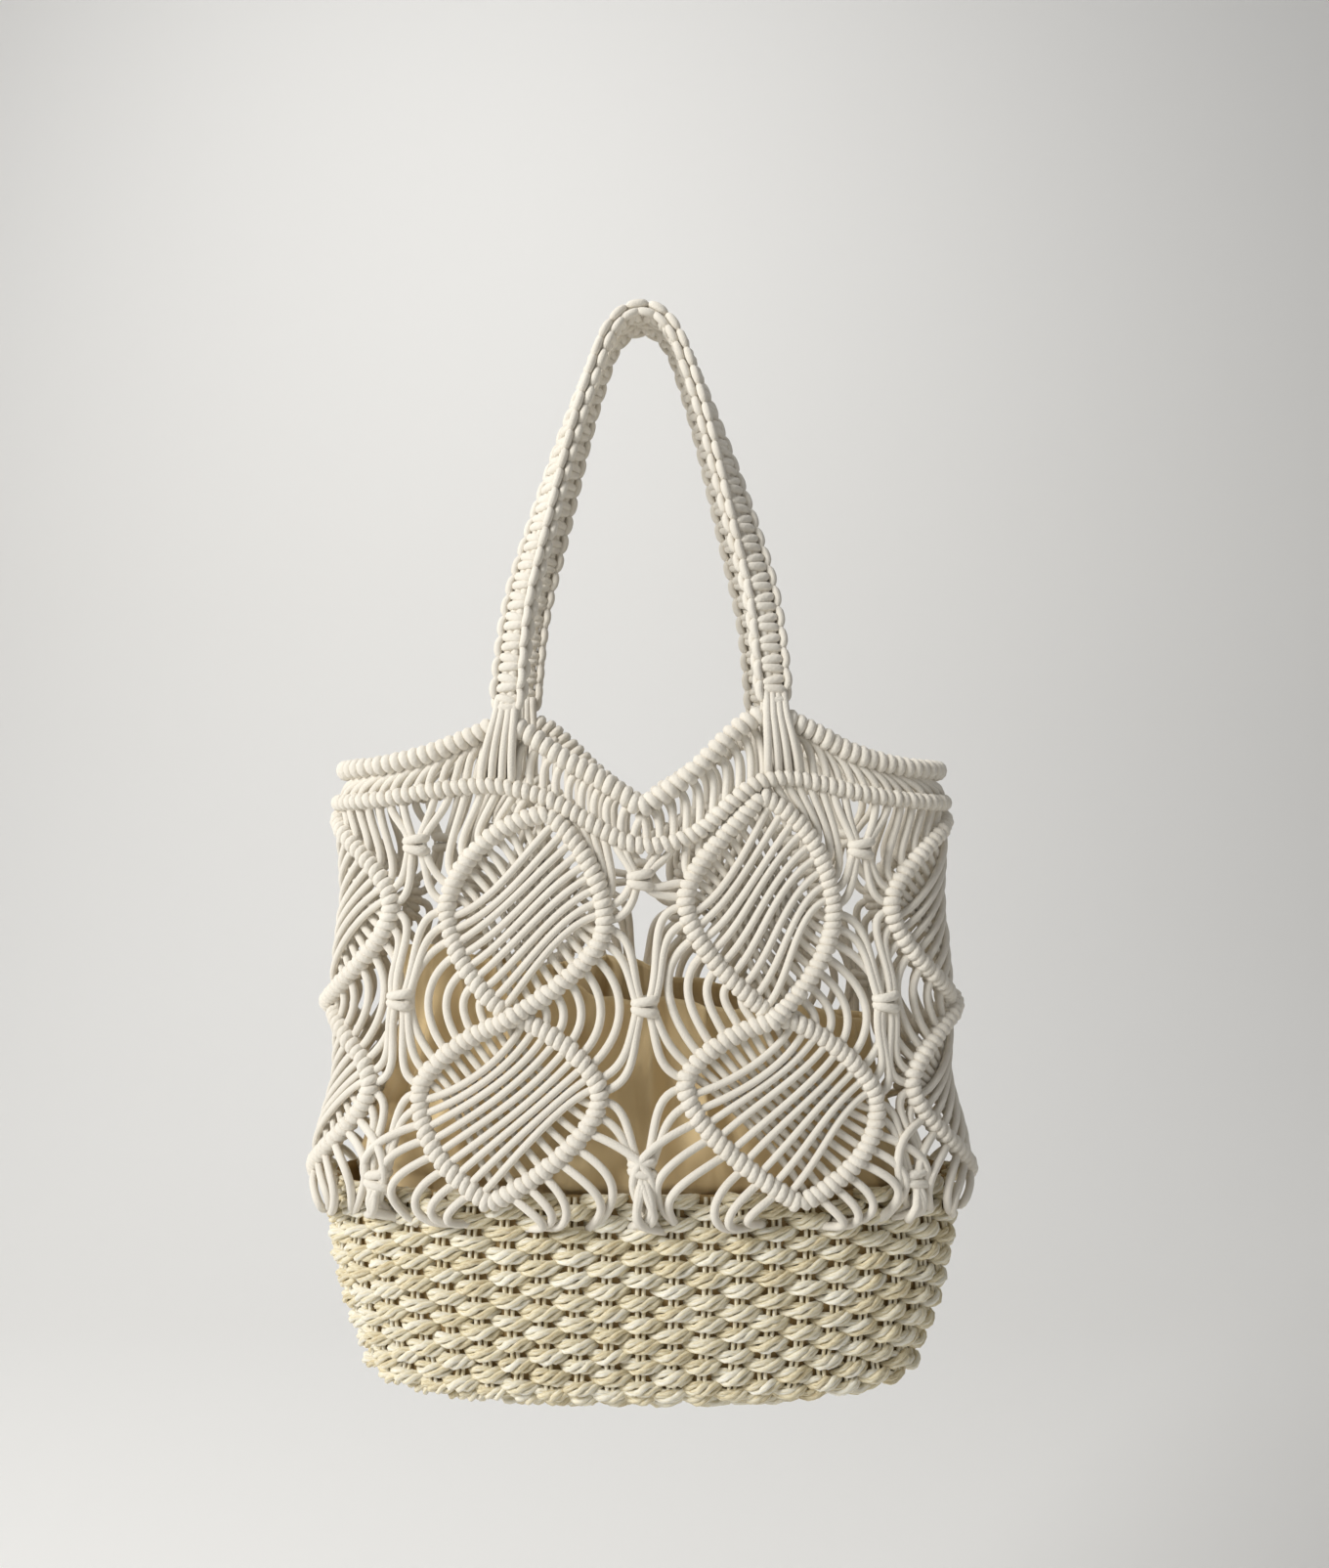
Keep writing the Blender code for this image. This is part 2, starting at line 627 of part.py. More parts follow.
def strap_path():
    """The middle line of the front strap as (x, y, z, turn), from its left foot over the top to its right one."""
    top_z, top_y = STRAP_THICKNESS / 2, -STRAP_SPACING / 2
    halves = []
    for away, side in zip(STRAP_FEET, ("left_turn", "right_turn")):
        foot = wall_point(away * PITCH, RIM_Z, RIB_HEIGHT / 2)
        foot_z = edge_level("rim", away * PITCH) + RIB_HEIGHT / 2 + GAP
        half = []
        for values in STRAP_LINE:
            row = dict(zip(STRAP_COLUMNS, values))
            half.append((foot.x * row["span"], top_y + (foot.y - top_y) * row["depth"],
                         top_z + (foot_z - top_z) * row["drop"], row[side]))
        halves.append(half)
    return halves[0][:0:-1] + halves[1]


# A strap: a flat band of square knots, which turns edge on as it nears the top, from one foot to the other
def make_strap(name, turned):
    path = smooth_path(strap_path(), STRAP_KNOT_PITCH / 2)
    bm = bmesh.new()
    rings = []
    for i, (x, y, z, turn) in enumerate(path):
        before, after = path[max(i - 1, 0)], path[min(i + 1, len(path) - 1)]
        along = Vector(after[:3] - before[:3]).normalized()
        outward = Vector((0, -1, 0)).cross(along).normalized()
        flat = along.cross(outward)
        angle = turn * math.pi / 2
        wide = outward * math.cos(angle) + flat * math.sin(angle)
        thick = flat * math.cos(angle) - outward * math.sin(angle)
        if i in (0, len(path) - 1):
            wide, thick = Vector((wide.x, wide.y, 0)).normalized(), Vector((thick.x, thick.y, 0)).normalized()
        full = 1.0 if i % 2 else STRAP_WAIST
        ring = []
        for across, deep in ((-1, 0), (-0.62, 1), (0.62, 1), (1, 0), (0.62, -1), (-0.62, -1)):
            offset = wide * across * STRAP_WIDTH / 2 * full + thick * deep * STRAP_THICKNESS / 2
            ring.append(bm.verts.new(Vector((x, y, z)) + offset))
        rings.append(ring)
    for a, b in zip(rings, rings[1:]):
        for k in range(len(a)):
            j = (k + 1) % len(a)
            bm.faces.new((a[k], a[j], b[j], b[k]))
    bm.faces.new(rings[0][::-1])
    bm.faces.new(rings[-1])
    bmesh.ops.recalc_face_normals(bm, faces=bm.faces[:])
    mesh = bpy.data.meshes.new(name)
    bm.to_mesh(mesh)
    bm.free()
    made = new_object(name, mesh, cotton)
    made.rotation_euler.z = math.pi if turned else 0
    return made


def make_vessel(name, rings, wall, material):
    """An open-topped shell through closed rings from its flat bottom up, thickened inwards."""
    bm = bmesh.new()
    made_rings = [[bm.verts.new(point) for point in ring] for ring in rings]
    for a, b in zip(made_rings, made_rings[1:]):
        for k in range(len(a)):
            j = (k + 1) % len(a)
            bm.faces.new((a[k], a[j], b[j], b[k]))
    bm.faces.new(made_rings[0][::-1])
    mesh = bpy.data.meshes.new(name)
    bm.to_mesh(mesh)
    bm.free()
    made = new_object(name, mesh, material)
    thicken(made, wall, False)
    return made


def section_ring(half_width, half_depth, squareness, z, sides):
    """Points evenly spaced round a section, seen anticlockwise from above."""
    x, y, along = section_outline(half_width, half_depth, squareness)
    at = np.arange(sides) / sides * along[-1]
    return [Vector((np.interp(a, along, x), np.interp(a, along, y), z)) for a in at]


def basket_size(z):
    """Half width, half depth and squareness of the basket's outer face at a height."""
    rise = (z - BASKET_BOTTOM_Z) / BASKET_HEIGHT
    return (BASKET_WIDTH / 2 * table_value(BASKET_SECTIONS, BASKET_COLUMNS, "width", rise),
            BASKET_DEPTH / 2 * table_value(BASKET_SECTIONS, BASKET_COLUMNS, "depth", rise),
            table_value(BASKET_SECTIONS, BASKET_COLUMNS, "squareness", rise))


# The basket: a woven straw bowl with a flat bottom, open at the top
def make_basket():
    rings = []
    for rise, *_ in BASKET_SECTIONS:
        z = BASKET_BOTTOM_Z + BASKET_HEIGHT * rise
        rings.append(section_ring(*basket_size(z), z, BASKET_SIDES))
    return make_vessel("straw_basket", rings, BASKET_WALL, straw)


# The lining: a slack cotton pouch standing in the basket, with soft upright folds towards its open top
def make_lining():
    bottom = BASKET_BOTTOM_Z + BASKET_WALL + LINING_CLEARANCE
    rings = []
    for rise, width, depth, folds in LINING_SECTIONS:
        z = bottom + LINING_HEIGHT * rise
        room = [basket_size(z)] if z < BASKET_TOP_Z else []
        room += [wall_size(z)] if z > HEM_Z else []
        wall = BASKET_WALL if z < BASKET_TOP_Z else 0.0
        half_width = min(size[0] for size in room) - wall - LINING_CLEARANCE
        half_depth = min(size[1] for size in room) - wall - LINING_CLEARANCE
        ring = []
        for k, point in enumerate(section_ring(half_width * width, half_depth * depth, LINING_SQUARENESS, z,
                                                LINING_SIDES)):
            wave = math.cos(2 * math.pi * LINING_FOLDS * k / LINING_SIDES) - 1
            inward = Vector((point.x, point.y * half_width / half_depth, 0)).normalized()
            tilt = -LINING_TILT * rise * rise * point.x / half_width
            ring.append(point + inward * LINING_FOLD * wave / 2 * folds + Vector((0, 0, tilt)))
        rings.append(ring)
    return make_vessel("lining", rings, LINING_WALL, lining_cloth)


for old in list(bpy.data.objects):
    bpy.data.objects.remove(old)
bag = bpy.data.collections.new("macrame_handbag")
bpy.context.scene.collection.children.link(bag)
cotton = new_material("cotton_cord", (0.80, 0.77, 0.71), 0.9)
straw = new_material("twisted_straw", (0.62, 0.52, 0.33), 0.8)
lining_cloth = new_material("lining_cotton", (0.80, 0.68, 0.46), 0.85)

make_strap("strap_front", False)
make_strap("strap_back", True)
make_round("rim_cord", "rim")
make_round("yoke_cord", "yoke")
make_yoke("yoke_front", 0.0)
make_yoke("yoke_back", COLUMNS / 2 * PITCH)
for column in range(COLUMNS):
    make_leaf(column, "upper")
    make_leaf(column, "lower")
    make_link(column)
make_basket()
make_lining()
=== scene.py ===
"""A knotted cotton handbag with a woven straw base, dressed for its portrait."""

import math

import bpy
import numpy as np
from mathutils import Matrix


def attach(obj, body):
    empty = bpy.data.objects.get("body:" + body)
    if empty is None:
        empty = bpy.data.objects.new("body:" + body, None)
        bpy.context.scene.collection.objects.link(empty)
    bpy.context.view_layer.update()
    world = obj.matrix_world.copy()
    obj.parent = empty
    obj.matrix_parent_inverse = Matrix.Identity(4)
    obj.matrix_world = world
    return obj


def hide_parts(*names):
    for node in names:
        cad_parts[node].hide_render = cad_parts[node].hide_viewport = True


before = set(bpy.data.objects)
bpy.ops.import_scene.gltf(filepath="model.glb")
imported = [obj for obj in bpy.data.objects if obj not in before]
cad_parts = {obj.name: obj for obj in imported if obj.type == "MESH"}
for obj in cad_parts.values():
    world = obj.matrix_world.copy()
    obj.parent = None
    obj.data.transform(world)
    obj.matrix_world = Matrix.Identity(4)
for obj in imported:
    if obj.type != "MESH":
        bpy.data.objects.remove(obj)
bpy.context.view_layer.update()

# The studio: a pale floor that sweeps up into a far, pale backdrop, lit softly from the left. The camera
# stands level in front of the bag, at the distance from which the photograph was taken. The backdrop is
# painted plaster, which gives the eye an even, matt ground without a sheen.
PHOTO_HEIGHT = 1604
METRES_PER_PIXEL = 0.0005
CAMERA_DISTANCE = 0.70
CAMERA_X = 0.0115
CAMERA_Z = -0.2335
FLOOR_Z = -0.95
FLOOR_FRONT_Y = -1.5
SWEEP_RADIUS = 1.2
SWEEP_STEPS = 16
BACKDROP_Y = 2.3
STUDIO_HALF_WIDTH = 4.0
STUDIO_TOP = 3.0
ROOM_STRENGTH = 0.2
LIGHT_COLUMNS = ("name", "place", "target", "size", "power")
LIGHTS = (
    ("window_light", (-1.7, -1.2, 0.7), (0, 0, -0.3), 0.9, 52),
    ("room_fill", (1.6, -1.8, 0.1), (0, 0, -0.35), 2.0, 6),
    ("backdrop_light", (-0.4, 0.6, 1.4), (0.0, BACKDROP_Y, -0.5), 2.0, 18),
)


def linear(colour):
    """An sRGB hex colour as linear red, green, blue and alpha."""
    parts = [int(colour[i:i + 2], 16) / 255 for i in (1, 3, 5)]
    return (*(c / 12.92 if c <= 0.04045 else ((c + 0.055) / 1.055) ** 2.4 for c in parts), 1.0)


def add(material, kind, inputs=None, **settings):
    """A new node with its settings; each input is a value or the socket that feeds it."""
    tree = material.node_tree
    node = tree.nodes.new(kind)
    for name, value in settings.items():
        setattr(node, name, value)
    for name, value in (inputs or {}).items():
        if isinstance(value, bpy.types.NodeSocket):
            tree.links.new(value, node.inputs[name])
        else:
            node.inputs[name].default_value = value
    return node


def new_material(name):
    """A new node material and its shader."""
    material = bpy.data.materials.new(name)
    material.use_nodes = True
    return material, material.node_tree.nodes["Principled BSDF"]


def link(material, output, shader, name):
    """Feeds an input of the shader from a node's output."""
    material.node_tree.links.new(output, shader.inputs[name])


bpy.context.scene.view_settings.view_transform = "Standard"
camera_data = bpy.data.cameras.new("camera")
camera_data.lens = camera_data.sensor_width * CAMERA_DISTANCE / (PHOTO_HEIGHT * METRES_PER_PIXEL)
camera = bpy.data.objects.new("camera", camera_data)
camera.location = (CAMERA_X, -CAMERA_DISTANCE, CAMERA_Z)
camera.rotation_euler = (math.pi / 2, 0, 0)
bpy.context.scene.collection.objects.link(camera)
bpy.context.scene.camera = camera

sweep = [(FLOOR_FRONT_Y, FLOOR_Z), (BACKDROP_Y - SWEEP_RADIUS, FLOOR_Z)]
sweep += [(BACKDROP_Y - SWEEP_RADIUS + SWEEP_RADIUS * math.sin(a),
           FLOOR_Z + SWEEP_RADIUS - SWEEP_RADIUS * math.cos(a))
          for a in np.linspace(0, math.pi / 2, SWEEP_STEPS + 1)[1:]]
sweep.append((BACKDROP_Y, STUDIO_TOP))
sweep_points = [(x, y, z) for y, z in sweep for x in (-STUDIO_HALF_WIDTH, STUDIO_HALF_WIDTH)]
sweep_faces = [(2 * i, 2 * i + 1, 2 * i + 3, 2 * i + 2) for i in range(len(sweep) - 1)]
backdrop_mesh = bpy.data.meshes.new("backdrop")
backdrop_mesh.from_pydata(sweep_points, [], sweep_faces)
backdrop_mesh.shade_smooth()
backdrop = bpy.data.objects.new("backdrop", backdrop_mesh)
bpy.context.scene.collection.objects.link(backdrop)
paint, paint_shader = new_material("painted_plaster")
paint_noise = add(paint, "ShaderNodeTexNoise", {"Scale": 2.0, "Detail": 3.0})
paint_colour = add(paint, "ShaderNodeMix", {"Factor": paint_noise.outputs["Fac"], "A": linear("#F4F3F0"),
                                            "B": linear("#EFEDE9")}, data_type="RGBA")
link(paint, paint_colour.outputs["Result"], paint_shader, "Base Color")
paint_shader.inputs["Roughness"].default_value = 0.95
backdrop_mesh.materials.append(paint)

world = bpy.data.worlds.new("soft_room")
world.use_nodes = True
world.node_tree.nodes["Background"].inputs["Color"].default_value = linear("#F1F2F4")
world.node_tree.nodes["Background"].inputs["Strength"].default_value = ROOM_STRENGTH
bpy.context.scene.world = world


def soft_light(name, place, target, size, power):
    """A large square light at a place, turned to a target."""
    data = bpy.data.lights.new(name, "AREA")
    data.size = size
    data.energy = power
    light = bpy.data.objects.new(name, data)
    light.location = place
    offset = np.subtract(target, place)
    light.rotation_euler = (math.acos(-offset[2] / np.linalg.norm(offset)), 0,
                            math.atan2(offset[1], offset[0]) - math.pi / 2)
    bpy.context.scene.collection.objects.link(light)


for values in LIGHTS:
    soft_light(**dict(zip(LIGHT_COLUMNS, values)))

# The knotted wall. It was knotted in the round, so its cords are laid out on a flat plan, (s, z, out): s runs
# round the bag from the middle of the front to the right, z is the height, and out is the distance from the
# wall's inner face. The plan is then wrapped round the bag.
CORD = 0.0042
RIB_HEIGHT = 0.009
STRAP_DROP = 0.2
NET_HEIGHT = 0.24
MOUTH_WIDTH = 0.292
MOUTH_DEPTH = 0.08
BASKET_WIDTH = 0.322
BASKET_DEPTH = 0.104
BASKET_HEIGHT = 0.107
BASKET_LAP = 0.01
HEM_CLEARANCE = 0.0016
COLUMNS = 6
RIM_Z = -STRAP_DROP
HEM_Z = RIM_Z - NET_HEIGHT
BASKET_TOP_Z = HEM_Z + BASKET_LAP
BASKET_BOTTOM_Z = BASKET_TOP_Z - BASKET_HEIGHT
WALL_COLUMNS = ("drop", "width", "depth", "squareness")
WALL_SECTIONS = (
    (0.00, -0.60, 0.00, 2.15),
    (0.15, 0.15, 0.10, 2.15),
    (0.38, 0.05, 0.20, 2.20),
    (0.58, 0.38, 0.35, 2.20),
    (0.76, 0.28, 0.62, 2.25),
    (0.90, 0.85, 0.96, 2.30),
    (1.00, 1.00, 1.00, 2.30),
)
PLAN_STEPS = 720
PLAN_LEVELS = 90

rng = np.random.default_rng(7)


def table_value(rows, columns, name, at):
    """A column of a table, read smoothly between its rows at values of the first column."""
    keys = np.array([row[0] for row in rows], float)
    values = np.array([row[columns.index(name)] for row in rows], float)
    at = np.clip(at, keys[0], keys[-1])
    i = np.clip(np.searchsorted(keys, at) - 1, 0, len(keys) - 2)
    slopes = np.gradient(values, keys)
    step = keys[i + 1] - keys[i]
    t = (at - keys[i]) / step
    rise = values[i + 1] - values[i]
    start, end = slopes[i] * step, slopes[i + 1] * step
    return values[i] + t * start + t * t * (3 * rise - 2 * start - end) + t**3 * (start + end - 2 * rise)


def section_outline(half_width, half_depth, squareness, points=480):
    """A rounded section as points from its left end round the front, and how far round each point is."""
    angle = np.linspace(0, 2 * math.pi, points + 1)
    x = -half_width * np.sign(np.cos(angle)) * np.abs(np.cos(angle)) ** (2 / squareness)
    y = -half_depth * np.sign(np.sin(angle)) * np.abs(np.sin(angle)) ** (2 / squareness)
    return x, y, np.concatenate([[0], np.cumsum(np.hypot(np.diff(x), np.diff(y)))])


def wall_size(z):
    """Half width, half depth and squareness of the wall's inner face at a height."""
    drop = (RIM_Z - z) / NET_HEIGHT
    width = table_value(WALL_SECTIONS, WALL_COLUMNS, "width", drop)
    depth = table_value(WALL_SECTIONS, WALL_COLUMNS, "depth", drop)
    return (
        (MOUTH_WIDTH + (BASKET_WIDTH + 2 * HEM_CLEARANCE - MOUTH_WIDTH) * width) / 2,
        (MOUTH_DEPTH + (BASKET_DEPTH + 2 * HEM_CLEARANCE - MOUTH_DEPTH) * depth) / 2,
        float(table_value(WALL_SECTIONS, WALL_COLUMNS, "squareness", drop)),
    )


def level(drop):
    """The height at a share of the net below the rim's peaks."""
    return RIM_Z - drop * NET_HEIGHT


def ring_of(size, steps):
    """Evenly spaced points round a section, the last on the first."""
    x, y, along = section_outline(*size)
    at = np.linspace(0, along[-1], steps + 1)
    return np.stack([np.interp(at, along, x), np.interp(at, along, y)], axis=1)


PITCH = section_outline(*wall_size(level(0.5)), points=240)[2][-1] / COLUMNS
plan_levels = np.linspace(level(-0.02), level(1.12), PLAN_LEVELS)
plan_rings = np.array([ring_of(wall_size(z), PLAN_STEPS) for z in plan_levels])


def plan_xy(share, z):
    """Where the wall's inner face is at a share of the way round and a height."""
    column = (share % 1.0) * PLAN_STEPS
    row = np.clip((z - plan_levels[0]) / (plan_levels[1] - plan_levels[0]), 0, PLAN_LEVELS - 1.001)
    i, j = row.astype(int), column.astype(int)
    u, v = (row - i)[..., None], (column - j)[..., None]
    upper = plan_rings[i, j] * (1 - v) + plan_rings[i, j + 1] * v
    lower = plan_rings[i + 1, j] * (1 - v) + plan_rings[i + 1, j + 1] * v
    return upper * (1 - u) + lower * u


def on_wall(plan):
    """Points of the flat plan wrapped round the bag, and the wall's outward direction at each."""
    plan = np.asarray(plan, float)
    share = plan[..., 0] / PITCH / COLUMNS + 0.25
    tangent = plan_xy(share + 0.003, plan[..., 1]) - plan_xy(share - 0.003, plan[..., 1])
    tangent /= np.linalg.norm(tangent, axis=-1, keepdims=True)
    normal = np.stack([tangent[..., 1], -tangent[..., 0], np.zeros(share.shape)], axis=-1)
    place = np.concatenate([plan_xy(share, plan[..., 1]), plan[..., 1:2]], axis=-1)
    return place + normal * plan[..., 2:3], normal


class Cords:
    """The cords of one piece, gathered as arrays and joined in one mesh."""

    def __init__(self):
        self.points, self.faces, self.wraps, self.tints, self.count = [], [], [], [], 0

    def lay(self, paths, ups, radius, closed=False, sides=8, tint=0.5):
        """Adds round cords with an even number of sides along paths, an array of (cord, point, xyz)."""
        paths, ups = np.asarray(paths, float), np.asarray(ups, float)
        if paths.ndim == 2:
            paths, ups = paths[None], ups[None]
        cords, steps = paths.shape[:2]
        if closed:
            along = np.roll(paths, -1, axis=1) - np.roll(paths, 1, axis=1)
        else:
            along = np.gradient(paths, axis=1)
        along /= np.linalg.norm(along, axis=-1, keepdims=True)
        side = np.cross(along, ups)
        side /= np.linalg.norm(side, axis=-1, keepdims=True)
        up = np.cross(side, along)
        angle = 2 * math.pi * np.arange(sides) / sides
        radius = np.broadcast_to(np.asarray(radius, float), (cords, steps))[..., None, None]
        ring = side[:, :, None] * np.cos(angle)[:, None] + up[:, :, None] * np.sin(angle)[:, None]
        points = paths[:, :, None] + ring * radius
        spans = steps if closed else steps - 1
        i, j = np.meshgrid(np.arange(spans), np.arange(sides), indexing="ij")
        near, far = i % steps * sides, (i + 1) % steps * sides
        beside = (j + 1) % sides
        quads = np.stack([near + j, near + beside, far + beside, far + j], axis=-1).reshape(-1, 4)
        length = np.linalg.norm(np.diff(paths, axis=1), axis=-1).mean() / (2 * math.pi * radius.mean())
        wraps = np.stack([np.stack([(j + a) / sides, (i + b) * length], axis=-1)
                          for a, b in ((0, 0), (1, 0), (1, 1), (0, 1))], axis=2).reshape(-1, 4, 2)
        if not closed:
            caps = [(0, k + 3, k + 2, k + 1) for k in range(0, sides - 2, 2)]
            last = (steps - 1) * sides
            end_caps = [(last, last + b, last + c, last + d) for _, d, c, b in caps]
            quads = np.concatenate([quads, caps, end_caps])
            wraps = np.concatenate([wraps, np.zeros((2 * len(caps), 4, 2))])
        starts = self.count + np.arange(cords) * steps * sides
        self.faces.append((quads[None] + starts[:, None, None]).reshape(-1, 4))
        self.points.append(points.reshape(-1, 3))
        self.wraps.append(np.tile(wraps, (cords, 1, 1)).reshape(-1, 2))
        self.tints.append(np.repeat(np.broadcast_to(np.asarray(tint, float), (cords,)), steps * sides))
        self.count += cords * steps * sides

    def finish(self, name, material):
        """Makes the piece, on the bag's one body."""
        points, faces = np.concatenate(self.points), np.concatenate(self.faces)
        mesh = bpy.data.meshes.new(name)
        mesh.vertices.add(len(points))
        mesh.vertices.foreach_set("co", points.ravel())
        mesh.loops.add(faces.size)
        mesh.loops.foreach_set("vertex_index", faces.ravel())
        mesh.polygons.add(len(faces))
        mesh.polygons.foreach_set("loop_start", np.arange(0, faces.size, 4))
        mesh.uv_layers.new(name="cord").data.foreach_set("uv", np.concatenate(self.wraps).ravel())
        mesh.attributes.new("tint", "FLOAT", "POINT").data.foreach_set("value", np.concatenate(self.tints))
        mesh.update(calc_edges=True)
        mesh.validate()
        mesh.shade_smooth()
        mesh.materials.append(material)
        piece = bpy.data.objects.new(name, mesh)
        bpy.context.scene.collection.objects.link(piece)
        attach(piece, "root")
        return piece


# Cotton cord, 4 mm: a soft round braid of undyed cotton. It gives the eye a matt, faintly furry off-white,
# with plaits of about 1 mm that show as a fine grain, and slow shifts of tone along the cords.
BRAID_TURNS = 6
BRAID_SLANT = 1.3
FUZZ_SCALE = 900.0
CLOUD_SCALE = 35.0
BRAID_DEPTH = 0.0004
cotton, cotton_shader = new_material("braided_cotton")
cotton_wrap = add(cotton, "ShaderNodeUVMap", uv_map="cord")
cotton_parts = add(cotton, "ShaderNodeSeparateXYZ", {"Vector": cotton_wrap.outputs["UV"]})
plaits = []
for turn in (-1, 1):
    around = add(cotton, "ShaderNodeMath", {0: cotton_parts.outputs["X"], 1: 2 * math.pi * BRAID_TURNS},
                 operation="MULTIPLY")
    along = add(cotton, "ShaderNodeMath", {0: cotton_parts.outputs["Y"],
                                           1: turn * 2 * math.pi * BRAID_TURNS * BRAID_SLANT},
                operation="MULTIPLY")
    both = add(cotton, "ShaderNodeMath", {0: around.outputs[0], 1: along.outputs[0]}, operation="ADD")
    plaits.append(add(cotton, "ShaderNodeMath", {0: both.outputs[0]}, operation="SINE"))
braid = add(cotton, "ShaderNodeMath", {0: plaits[0].outputs[0], 1: plaits[1].outputs[0]}, operation="MAXIMUM")
fuzz_place = add(cotton, "ShaderNodeNewGeometry")
fuzz = add(cotton, "ShaderNodeTexNoise", {"Vector": fuzz_place.outputs["Position"], "Scale": FUZZ_SCALE,
                                          "Detail": 3.0})
cloudy = add(cotton, "ShaderNodeTexNoise", {"Vector": fuzz_place.outputs["Position"], "Scale": CLOUD_SCALE,
                                            "Detail": 2.0})
height = add(cotton, "ShaderNodeMath", {0: braid.outputs[0], 1: 0.35, 2: fuzz.outputs["Fac"]},
             operation="MULTIPLY_ADD")
cotton_bump = add(cotton, "ShaderNodeBump", {"Height": height.outputs[0], "Strength": 0.35,
                                             "Distance": BRAID_DEPTH})
link(cotton, cotton_bump.outputs["Normal"], cotton_shader, "Normal")
cotton_colour = add(cotton, "ShaderNodeMix", {"Factor": cloudy.outputs["Fac"], "A": linear("#DBD3C4"),
                                              "B": linear("#EAE4D7")}, data_type="RGBA")
link(cotton, cotton_colour.outputs["Result"], cotton_shader, "Base Color")
cotton_shader.inputs["Roughness"].default_value = 0.88
cotton_shader.inputs["Sheen Weight"].default_value = 0.25
cotton_shader.inputs["Sheen Roughness"].default_value = 0.6
cotton_shader.inputs["Specular IOR Level"].default_value = 0.3


# Rim and yoke cords: a holding cord covered by the hitches of the cords that hang from it, side by side. The
# rim's hitches are fatter and stop on both sides of each strap's foot.
HITCH_PITCH = 0.0041
HITCH_RING = 0.0024
HITCH_RADIUS = 0.0024
HITCH_SLANT = 0.0008
HITCH_STEPS = 12
HITCH_STRAY = 0.0003
HOLDING_CORD = 0.0021
EDGE_STEPS = 360
SPAN_STEPS = 181
RIM_HITCHES = {"pitch": 0.0050, "ring": 0.0025, "radius": 0.0027}
YOKE_HITCHES = {"pitch": 0.0043, "ring": 0.0021, "radius": 0.0023}
FOOT_GAP = 0.055
EDGE_COLUMNS = ("away", "rim", "yoke")
EDGE_LINE = (
    (-1.50, 0.112, 0.180),
    (-1.36, 0.109, 0.178),
    (-1.16, 0.098, 0.170),
    (-0.98, 0.078, 0.157),
    (-0.80, 0.046, 0.146),
    (-0.64, 0.018, 0.143),
    (-0.50, 0.046, 0.155),
    (-0.36, 0.086, 0.180),
    (-0.20, 0.124, 0.222),
    (-0.07, 0.162, 0.254),
    (0.00, 0.184, 0.262),
    (0.07, 0.168, 0.262),
    (0.17, 0.137, 0.252),
    (0.28, 0.097, 0.226),
    (0.39, 0.052, 0.180),
    (0.51, 0.014, 0.139),
    (0.64, 0.000, 0.127),
    (0.79, 0.028, 0.137),
    (0.95, 0.070, 0.155),
    (1.16, 0.100, 0.170),
    (1.36, 0.110, 0.178),
    (1.50, 0.112, 0.180),
)
STRAP_FEET = (-0.64, 0.64)


def edge_level(name, s):
    """The height of the rim or yoke cord at a place round the bag."""
    half_turn = COLUMNS / 2
    away = (np.asarray(s) / PITCH + half_turn / 2) % half_turn - half_turn / 2
    return level(table_value(EDGE_LINE, EDGE_COLUMNS, name, away))


def evenly(plan, spacing, closed=False):
    """A plan line redrawn with points a real distance apart."""
    plan = np.asarray(plan, float)
    if closed:
        plan = np.concatenate([plan, plan[:1] + (COLUMNS * PITCH, 0, 0)])
    along = np.concatenate([[0], np.cumsum(np.linalg.norm(np.diff(on_wall(plan)[0], axis=0), axis=1))])
    count = max(int(round(along[-1] / spacing)), 2)
    at = (np.arange(count) + 0.5) / count * along[-1]
    return np.stack([np.interp(at, along, plan[:, k]) for k in range(3)], axis=1)


def hitch(cords, plan, closed=False, pitch=HITCH_PITCH, ring=HITCH_RING, radius=HITCH_RADIUS):
    """Covers a line of the plan with hitches: round after round of cord, laid a little slanting."""
    middles, normal = on_wall(evenly(plan, pitch, closed))
    if closed:
        along = np.roll(middles, -1, axis=0) - np.roll(middles, 1, axis=0)
    else:
        along = np.gradient(middles, axis=0)
    along /= np.linalg.norm(along, axis=1, keepdims=True)
    across = np.cross(along, normal)
    count = len(middles)
    angle = 2 * math.pi * np.arange(HITCH_STEPS) / HITCH_STEPS
    swell = 1 + rng.uniform(-0.05, 0.08, (count, 1, 1))
    slant = HITCH_SLANT * (1 + rng.uniform(-0.5, 0.5, (count, 1, 1)))
    outward = (normal[:, None] * np.cos(angle)[:, None] + across[:, None] * np.sin(angle)[:, None])
    paths = middles[:, None] + outward * ring * swell + along[:, None] * slant * np.sin(angle)[:, None]
    paths += normal[:, None] * rng.uniform(-HITCH_STRAY, HITCH_STRAY, (count, 1, 1))
    cords.lay(paths, outward, radius * (1 + rng.uniform(-0.04, 0.04, (count, 1))), closed=True,
              tint=rng.uniform(0, 1, count))


